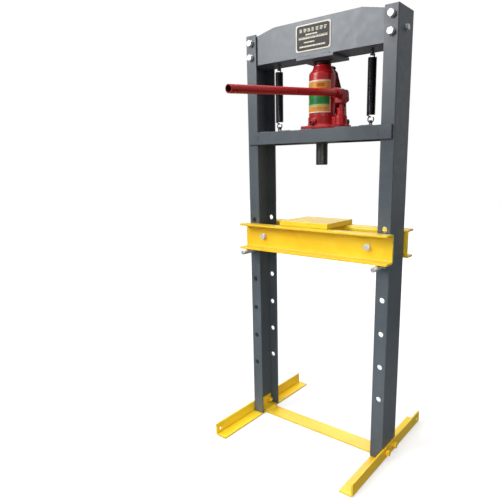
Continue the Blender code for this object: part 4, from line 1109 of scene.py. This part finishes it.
def build_ram():
    low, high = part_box("jack_ram")
    socket_r = SCREW_R + 0.0005
    turned("jack_ram", "ground", [
        (0, low.z), (0.0227, low.z), (0.0227, low.z + 0.019), (RAM_R, low.z + 0.020),
        (RAM_R, high.z - 0.001), (RAM_R - 0.001, high.z), (socket_r, high.z), (socket_r, SOCKET_FLOOR),
        (0, SOCKET_FLOOR)], segments=96, more=("ram_seal",))

    under = high.z + 0.0004
    low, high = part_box("extension_screw")
    rim = high.x
    profile = [(0, low.z), (SCREW_R - 0.0015, low.z), (SCREW_R, low.z + 0.0015)]
    z = low.z + 0.003
    while z < under - 0.004:
        profile += [(SCREW_R, z), (SCREW_R, z + 0.0010), (SCREW_R - 0.0013, z + 0.0020),
                    (SCREW_R - 0.0013, z + 0.0030)]
        z += 0.0040
    profile += [(SCREW_R, under - 0.001), (SCREW_R, under), (rim - 0.001, under), (rim, under + 0.001)]
    profile += groove(rim, high.z - 0.0032, high.z - 0.0014, 0.0008, 0.0006)
    profile += [(rim, high.z - 0.0008), (rim - 0.0008, high.z), (0.006, high.z), (0.005, high.z - 0.003),
                (0, high.z - 0.003)]
    saddle = lathe("fine_extension_screw", profile, segments=96)
    cuts = []
    for k in range(4):
        cut = block("groove", (-0.03, -0.0008, high.z - 0.0011), (0.03, 0.0008, high.z + 0.002))
        cut.data.transform(Matrix.Rotation(math.pi * k / 4, 4, "Z"))
        cuts.append(cut)
    stand_for(boolean(saddle, cuts), "saddle", "extension_screw")


SLOT_HALF = 0.0016          # screwdriver slot and round socket of the release valve
SLOT_DEPTH = 0.0035
SOCKET_R = 0.0040


def build_release_valve():
    low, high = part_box("release_valve")
    pivot_at = Vector(JOINT["release_valve_turn"]["pos_m"])
    centre = (pivot_at.x, 0, pivot_at.z)
    under = VALVE_FRONT + GAP
    face = -low.y
    depth = face - SLOT_DEPTH
    head_r = (high.x - low.x) / 2
    stem = [(0, 0.0370), (VALVE_STEM_R, 0.0370), (VALVE_STEM_R, under)]
    stem += rounded([(VALVE_STEM_R, under), (head_r, under), (head_r, face - 0.001), (head_r - 0.001, face),
                     (0.0010, face)], 0.0006, closed=False) + [(0, face)]
    knob = lathe("fine_release_valve", stem, centre, (0, -1, 0), 56)
    slot = block("slot", (pivot_at.x - SLOT_HALF, -0.07, pivot_at.z - 0.02),
                 (pivot_at.x + SLOT_HALF, -depth, pivot_at.z + 0.02))
    boolean(knob, [slot, rod("socket", centre, (0, -1, 0), SOCKET_R, depth, 0.07, 32)])
    stand_for(knob, "cast_red", "release_valve")
    # a dark cup lines the socket: painted shade in its recess
    outer, inner = SOCKET_R - 0.0001, SOCKET_R - 0.0004
    cup = [(0, depth + 0.0001), (outer, depth + 0.0001), (outer, face - 0.0008), (inner, face - 0.0008),
           (inner, depth + 0.0005), (0, depth + 0.0005)]
    add_to(lathe("release_valve_socket_shade", cup, centre, (0, -1, 0), 32), "dark", "release_valve")


STRAP_T = 0.003
STRAP_AZIMUTH = math.radians(38.0)
STAY_R = 0.0530             # how far the upright part of the stay is from the jack's axis
STAY_LINE = (               # middle of its strap, as (distance from the jack's axis, height)
    (0.0284, 1.1475),
    (0.0352, 1.1335),
    (0.0418, 1.1285),
    (0.0432, 1.1200),
    (STAY_R, 1.0850),
)
STAY_CREST = ((0.0356, 1.1315), (0.0376, 1.1285), (0.0391, 1.1255))     # web under the cap's edge
STAY_CREST_Z = 1.1210
STAY_SEAT_R = 0.0425        # the web's inner edge beside the base's seat, and below that
STAY_FOOT_R = 0.0475
STAY_FLARE_Z = 0.9920
TOP_SCREW = (0.0318, 0, 1.1405)     # on the middle of the strap, and the way its head points
TOP_SCREW_WAY = (14, 0, 7.1)


def build_stay():
    base_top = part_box("jack_base")[0].z + DECK_T + GAP
    foot_z = base_top + STRAP_T / 2
    rise = list(STAY_LINE) + [(STAY_R, foot_z), (STAY_R + 0.009, foot_z)]
    strap = prism("fine_stay_strap", ribbon(rounded(rise, 0.0035, closed=False), STRAP_T), "Y", -0.006, 0.006)
    body_r = JACK_R + 0.0005
    seat_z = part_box("jack_reservoir")[0].z + 0.002
    web = [(STAY_FOOT_R, foot_z), (STAY_R, foot_z)] + list(STAY_LINE[:0:-1]) + list(STAY_CREST)
    web += [(body_r, STAY_CREST_Z), (body_r, seat_z), (STAY_SEAT_R, seat_z), (STAY_SEAT_R, STAY_FLARE_Z),
            (STAY_FOOT_R, STAY_FLARE_Z)]
    boolean(strap, [prism("web", web, "Y", -STRAP_T / 2, STRAP_T / 2)], "UNION")
    soften(strap, 0.0005)
    foot_screw = hexagon(0.006, base_top + STRAP_T, base_top + STRAP_T + 0.003)
    foot_screw.data.transform(Matrix.Translation((STAY_R + 0.0055, 0, 0)))
    top_screw = hexagon(0.008, 0, 0.0042)
    outward = Vector(TOP_SCREW_WAY).normalized()
    spot = Vector(TOP_SCREW) + outward * STRAP_T / 2
    top_screw.data.transform(Matrix.Translation(spot) @ aim(outward))
    screws = join("strap_screws", [foot_screw, top_screw])
    turn = Matrix.Rotation(STRAP_AZIMUTH, 4, "Z")
    strap.data.transform(turn)
    screws.data.transform(turn)
    # the stay and its screws wear the darker red, painted shade in the gap beside the body
    stand_for(even(strap), "stay_red_shaded", "stay_strap")
    add_to(screws, "stay_red_shaded", "stay_strap")


LABEL_LOW = 1.0168
LABEL_HIGH = 1.1053
LABEL_FROM = math.radians(-162.0)
LABEL_TO = math.radians(-21.5)
LABEL_ON_SHEET = 0.00018    # heights above the reservoir of the bands, and of what lies on them
LABEL_ON_BAND = 0.00030
BAND = (0.03, 0.965)        # a band's ends, as shares of the label's width


def label_patch(a0, a1, z0, z1, lift=LABEL_ON_BAND, thick=0.00012):
    """Thin curved sheet on the reservoir between two shares of the label's width and height."""
    bm = bmesh.new()
    start = LABEL_FROM + (LABEL_TO - LABEL_FROM) * a0
    end = LABEL_FROM + (LABEL_TO - LABEL_FROM) * a1
    low = LABEL_LOW + (LABEL_HIGH - LABEL_LOW) * z0
    high = LABEL_LOW + (LABEL_HIGH - LABEL_LOW) * z1
    steps = max(1, math.ceil(math.degrees(end - start) / 3.0))
    near, far = JACK_R + lift, JACK_R + lift + thick
    rings = []
    for k in range(steps + 1):
        angle = start + (end - start) * k / steps
        rings.append([bm.verts.new((r * math.cos(angle), r * math.sin(angle), z))
                      for r, z in ((near, low), (far, low), (far, high), (near, high))])
    bridge(bm, rings)
    bm.faces.new(rings[0])
    bm.faces.new(rings[-1][::-1])
    return finish_mesh("patch", bm, 30.0)


def label_band(low, high):
    return [label_patch(*BAND, low, high, LABEL_ON_SHEET)]


def label_rows(rows, start, end, widths):
    """Rows of bars of uneven length, in place of lines of words."""
    bars = []
    for low, tall in rows:
        a = start
        while a < end:
            wide = RANDOM.uniform(*widths)
            bars.append(label_patch(a, min(a + wide, end + 0.03), low, low + tall))
            a += wide + 0.017
    return bars


def build_label():
    """Plain coloured label: a cream sheet, colour bands, and bars in place of its words."""
    warm_rows = ((0.735, 0.018), (0.150, 0.014), (0.110, 0.014), (0.066, 0.014))
    green_rows = ((0.60, 0.02), (0.53, 0.02), (0.41, 0.018), (0.36, 0.018), (0.31, 0.018))
    sheets = {
        "sheet": ("cream", [label_patch(0, 1, 0, 1, 0.00002, 0.00016)]),
        "top": ("orange", label_band(0.705, 0.955)),
        "middle": ("green", label_band(0.255, 0.665)),
        "bottom": ("amber", label_band(0.035, 0.190)),
        "strip": ("lime", label_band(0.198, 0.247)),
        "badge": ("lime", [label_patch(0.10, 0.36, 0.75, 0.91), label_patch(0.06, 0.24, 0.31, 0.45)]),
        "block": ("rust", [label_patch(0.56, 0.80, 0.79, 0.90)]),
        "warm_rows": ("rust", label_rows(warm_rows, 0.40, 0.88, (0.02, 0.08))),
        "green_rows": ("ink", label_rows(green_rows, 0.34, 0.86, (0.03, 0.10))),
    }
    for name, (look, parts) in sheets.items():
        add_to(join("label_" + name, parts), look, "jack_reservoir")


# ---------------------------------------------------------------- pump, linkage and handle
LIP = 0.0012                # how far the pump cylinder's rims stand out
PISTON_R = 0.0060
PISTON_EYE_R = 0.0085
PISTON_EYE_HALF = 0.0045
PISTON_BORE_R = 0.0054      # wider than its pin, because the linkage needs a little play
LINK_END_R = 0.0062
LINK_WAIST_HALF = 0.0038
LINK_HALF_T = 0.0048


def build_pivot(node):
    """Pin along X with domed heads."""
    low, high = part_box(node)
    head_r = (high.y - low.y) / 2
    half = (high.x - low.x) / 2
    neck = half - 0.0021
    profile = [(0, -half), (head_r * 0.55, -half + 0.0002), (head_r * 0.9, -half + 0.0008),
               (head_r, -half + 0.0013), (head_r, -neck), (PIN_R, -neck), (PIN_R, neck), (head_r, neck),
               (head_r, half - 0.0009), (head_r * 0.7, half - 0.0006), (PIN_R, half - 0.0002), (0, half)]
    look = "turned" if node == "link_foot_pin" else "cast_red"
    turned(node, look, profile, middle(node), (1, 0, 0), 40)


def build_pump():
    low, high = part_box("pump_cylinder")
    pump_x = (low.x + high.x) / 2
    r = high.x - pump_x
    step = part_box("jack_reservoir")[0].z + 0.002
    bore_r = PISTON_R + GAP
    profile = [(0, low.z), (PUMP_STEM_R, low.z), (PUMP_STEM_R, step), (r, step)]
    profile += groove(r, step + 0.0035, high.z - 0.0055, LIP, 0.001)
    profile += [(r, high.z - 0.0015), (r - 0.0015, high.z), (bore_r, high.z), (bore_r, low.z + 0.004),
                (0, low.z + 0.004)]
    turned("pump_cylinder", "body_red", profile, (pump_x, 0, 0))

    eye = middle("piston_pin")
    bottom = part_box("pump_piston")[0].z
    neck_r = PISTON_R + 0.0006
    profile = [(0, bottom), (PISTON_R - 0.0005, bottom), (PISTON_R, bottom + 0.0006),
               (PISTON_R, eye.z - 0.010), (neck_r, eye.z - 0.007), (neck_r, eye.z - 0.004),
               (0, eye.z - 0.004)]
    piston = lathe("fine_pump_piston", profile, (pump_x, 0, 0), segments=56)
    ring = rounded([(0, -PISTON_EYE_HALF), (PISTON_EYE_R, -PISTON_EYE_HALF), (PISTON_EYE_R, PISTON_EYE_HALF),
                    (0, PISTON_EYE_HALF)], 0.0006, closed=False)
    boolean(piston, [lathe("eye", ring, eye, (1, 0, 0), 56)], "UNION")
    drill(piston, [(eye, (1, 0, 0), PISTON_BORE_R, 0.02)])
    stand_for(piston, "body_red", "pump_piston")

    foot, top = middle("link_foot_pin"), middle("link_top_pin")
    start, end = Vector((foot.y, foot.z)), Vector((top.y, top.z))
    along = end - start
    lean = math.degrees(math.atan2(along.y, along.x))
    across = Vector((-along.y, along.x)).normalized() * LINK_WAIST_HALF
    waist = (0.24, 0.5, 0.76)
    outline = arc(tuple(end), LINK_END_R, lean - 80, lean + 80, 14)
    outline += [tuple(end.lerp(start, t) + across) for t in waist]
    outline += arc(tuple(start), LINK_END_R, lean + 100, lean + 260, 14)
    outline += [tuple(end.lerp(start, t) - across) for t in waist[::-1]]
    link = soften(prism("fine_pump_link", outline, "X", pump_x - LINK_HALF_T, pump_x + LINK_HALF_T), 0.0009)
    drill(link, [(foot, (1, 0, 0), PIN_R + GAP, 0.02), (top, (1, 0, 0), PIN_R + GAP, 0.02)])
    stand_for(even(link), "cast_red", "pump_link")
    for node in ("link_foot_pin", "link_top_pin", "piston_pin"):
        build_pivot(node)


HANDLE_BORE_R = 0.0075
BORE_SHADE_LENGTH = 0.090        # how deep the dark lining of painted shade reaches into the tube
BARREL_R = 0.0125           # the socket's round body
BARREL_LENGTH = 0.036
YOKE_HALF = 0.0120          # outside of the socket's cheeks
YOKE_CHEEK = 0.0055         # thickness of one cheek
YOKE_FRONT = -0.0145        # wall that closes the socket's front between its cheeks
YOKE_FRONT_T = 0.003
YOKE_FOOT = 1.0405
YOKE_EYE_R = 0.0085         # cheek around the piston's pin, around the hinge, and at its back
YOKE_HINGE_R = 0.0075
YOKE_BACK_R = 0.012
YOKE_BACK_Y = 0.0110
YOKE_BROW = 0.006           # how far the cheeks reach above and below the handle's axis


def build_handle():
    pull = Vector(JOINT["handle_pull"]["axis"]).normalized()
    low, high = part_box("handle_tube")
    r = (high.x - low.x) / 2
    x = (low.x + high.x) / 2
    length = ((high.y - low.y) - 2 * r * abs(pull.z)) / abs(pull.y)
    start = Vector((x, high.y - r * abs(pull.z), high.z - r * abs(pull.y)))
    bore = HANDLE_BORE_R
    tube = [(bore, 0), (r - 0.0005, 0), (r, 0.0005)]
    tube += rounded([(r, length - 0.006), (r, length), (bore, length), (bore, length - 0.006)], 0.0009,
                    closed=False)
    turned("handle_tube", "handle_red", tube, start, pull, 96)
    # dark lining inside the tube's open end: painted shade in its bore
    lining = rectangle(bore - 0.0007, bore - 0.0001, length - BORE_SHADE_LENGTH, length - 0.0012)
    add_to(lathe("handle_bore_shade", lining, start, pull, 64), "dark", "handle_tube")

    hinge = Vector(JOINT["handle_swing"]["pos_m"])
    eye = middle("piston_pin")
    centre = Vector((x, 0, start.z + 0.0026 * pull.z))
    barrel = [(0, -0.006), (BARREL_R - 0.0035, -0.006), (BARREL_R, -0.003), (BARREL_R, BARREL_LENGTH - 0.009),
              (BARREL_R + 0.001, BARREL_LENGTH - 0.007), (BARREL_R + 0.001, BARREL_LENGTH),
              (0, BARREL_LENGTH)]
    socket = lathe("fine_handle_socket", barrel, centre, pull, 72)
    cheek = [(YOKE_FRONT, YOKE_FOOT)] + arc((eye.y, eye.z), YOKE_EYE_R, 250, 300, 6)
    cheek += arc((hinge.y, hinge.z), YOKE_HINGE_R, -60, 10, 6)
    cheek += arc((YOKE_BACK_Y, centre.z - 0.003), YOKE_BACK_R, 0, 90, 10)
    cheek += [(-0.010, centre.z + YOKE_BROW + 0.0005), (YOKE_FRONT, centre.z - YOKE_BROW)]
    parts = []
    for side in (-1, 1):
        limits = sorted((x + side * (YOKE_HALF - YOKE_CHEEK), x + side * YOKE_HALF))
        parts.append(prism("cheek", cheek, "X", limits[0], limits[1]))
    parts.append(block("front_wall", (x - YOKE_HALF, YOKE_FRONT, YOKE_FOOT),
                       (x + YOKE_HALF, YOKE_FRONT + YOKE_FRONT_T, centre.z - YOKE_BROW)))
    boolean(socket, parts, "UNION")
    cast(socket, 0.0007, 4)
    cuts = [rod("bore", centre, pull, r + GAP, -0.003, 0.06, 56)]
    for spot in (eye, hinge):
        cuts.append(rod("pin_hole", (x, spot.y, spot.z), (1, 0, 0), PIN_R + GAP, -0.03, 0.03, 32))
    boolean(socket, cuts, sharp=50.0)
    stand_for(socket, "cast_red", "handle_socket")


# ---------------------------------------------------------------- stage
CAMERA_PLACE = (0.7607, -1.2250, 0.8712)
CAMERA_YAW = 37.865
CAMERA_PITCH = -11.902
CAMERA_ROLL = -0.763
CAMERA_LENS = 33.71
CAMERA_SHIFT = (-0.0452, 0.0276)
WORLD_DIFFUSE = 0.28        # strength of the white surroundings for soft light on the object
WORLD_GLOSSY = 0.50         # for its reflections
WORLD_SEEN = 1.0            # for the camera
GLOW_NEAR = 0.50            # own light of the floor near the object and far away, for the camera only
GLOW_FAR = 1.0
GLOW_REACH = (0.6, 3.0)     # distances from the middle that count as near and far
FLOOR_TONES = ((0.52, 0.52, 0.52), (0.56, 0.56, 0.56))
FLOOR_DROP = 0.0005         # keeps the floor clear of the feet's undersides
FLOOR_BOUNCE = 0.16         # grey of the floor for all rays but the camera's
FLOOR_HALF = 8.0
LIGHTS = (                  # name, place, target, size, watts, spread in degrees
    ("key", (-1.3, -2.1, 2.2), (0, 0, 0.9), (1.3, 1.3), 55, 180.0),
    ("top", (-0.2, 0.0, 3.0), (0, 0, 0.8), (2.0, 2.0), 42, 180.0),
    ("behind", (-1.3, 2.1, 2.0), (0, 0, 0.5), (1.4, 0.9), 12, 180.0),
    ("camera_side", (1.4, -1.7, 0.9), (0.2, -0.1, 0.0), (1.0, 0.6), 2.6, 60.0),
    ("feet", (0.0, -1.0, 0.9), (0, 0, 0.0), (0.7, 0.4), 0.9, 70.0),
)


def build_lights():
    for name, place, target, size, watts, spread in LIGHTS:
        light = bpy.data.lights.new(name, "AREA")
        light.shape = "RECTANGLE"
        light.size, light.size_y = size
        light.energy = watts
        light.spread = math.radians(spread)
        obj = bpy.data.objects.new(name, light)
        obj.location = place
        obj.rotation_euler = (Vector(target) - Vector(place)).to_track_quat("-Z", "Y").to_euler()
        bpy.context.scene.collection.objects.link(obj)


def build_floor():
    bm = bmesh.new()
    bmesh.ops.create_grid(bm, x_segments=1, y_segments=1, size=FLOOR_HALF)
    floor = finish_mesh("floor", bm)
    floor.location.z = -FLOOR_DROP
    g = Graph("pale_floor")
    tone = g.mix(g.noise(2.0, 3.0), *FLOOR_TONES)
    seen = g.add("LightPath").outputs["Is Camera Ray"]
    tone = g.mix(seen, (FLOOR_BOUNCE,) * 3, tone)
    distance = g.add("VectorMath", {0: g.place}, operation="LENGTH").outputs["Value"]
    glow = g.math("MULTIPLY", seen, g.ramp(distance, *GLOW_REACH, GLOW_NEAR, GLOW_FAR))
    floor.data.materials.append(g.finish({"Base Color": tone, "Roughness": 0.9, "Emission Strength": glow,
                                          "Emission Color": (1.0, 1.0, 1.0)}))


def build_world():
    world = bpy.data.worlds.new("studio")
    bpy.context.scene.world = world
    world.use_nodes = True
    tree = world.node_tree
    back = tree.nodes["Background"]
    back.inputs["Color"].default_value = (1.0, 1.0, 1.0, 1.0)
    ray = tree.nodes.new("ShaderNodeLightPath")
    glossy = tree.nodes.new("ShaderNodeMix")
    glossy.inputs[2].default_value = WORLD_DIFFUSE
    glossy.inputs[3].default_value = WORLD_GLOSSY
    seen = tree.nodes.new("ShaderNodeMix")
    seen.inputs[3].default_value = WORLD_SEEN
    tree.links.new(ray.outputs["Is Glossy Ray"], glossy.inputs[0])
    tree.links.new(ray.outputs["Is Camera Ray"], seen.inputs[0])
    tree.links.new(glossy.outputs[0], seen.inputs[2])
    tree.links.new(seen.outputs[0], back.inputs["Strength"])
    bpy.context.scene.view_settings.view_transform = "Standard"


def build_camera():
    camera = bpy.data.objects.new("camera", bpy.data.cameras.new("camera"))
    bpy.context.scene.collection.objects.link(camera)
    turn = Matrix.Rotation(math.radians(CAMERA_YAW), 4, "Z")
    tilt = Matrix.Rotation(math.radians(90.0 + CAMERA_PITCH), 4, "X")
    roll = Matrix.Rotation(math.radians(CAMERA_ROLL), 4, "Z")
    camera.matrix_world = Matrix.Translation(CAMERA_PLACE) @ turn @ tilt @ roll
    camera.data.lens = CAMERA_LENS
    camera.data.shift_x, camera.data.shift_y = CAMERA_SHIFT
    camera.data.clip_start = 0.01
    bpy.context.scene.camera = camera


build_bolts()
build_uprights()
build_feet()
build_head()
build_nameplate()
build_bolster()
build_springs()
build_bed()
build_jack_base()
build_reservoir()
build_cap()
build_ram()
build_release_valve()
build_stay()
build_label()
build_pump()
build_handle()
paint_on(frame["nodes"]["jack_cylinder"], "ground")     # hidden, kept as the CAD has it
build_floor()
build_world()
build_lights()
build_camera()
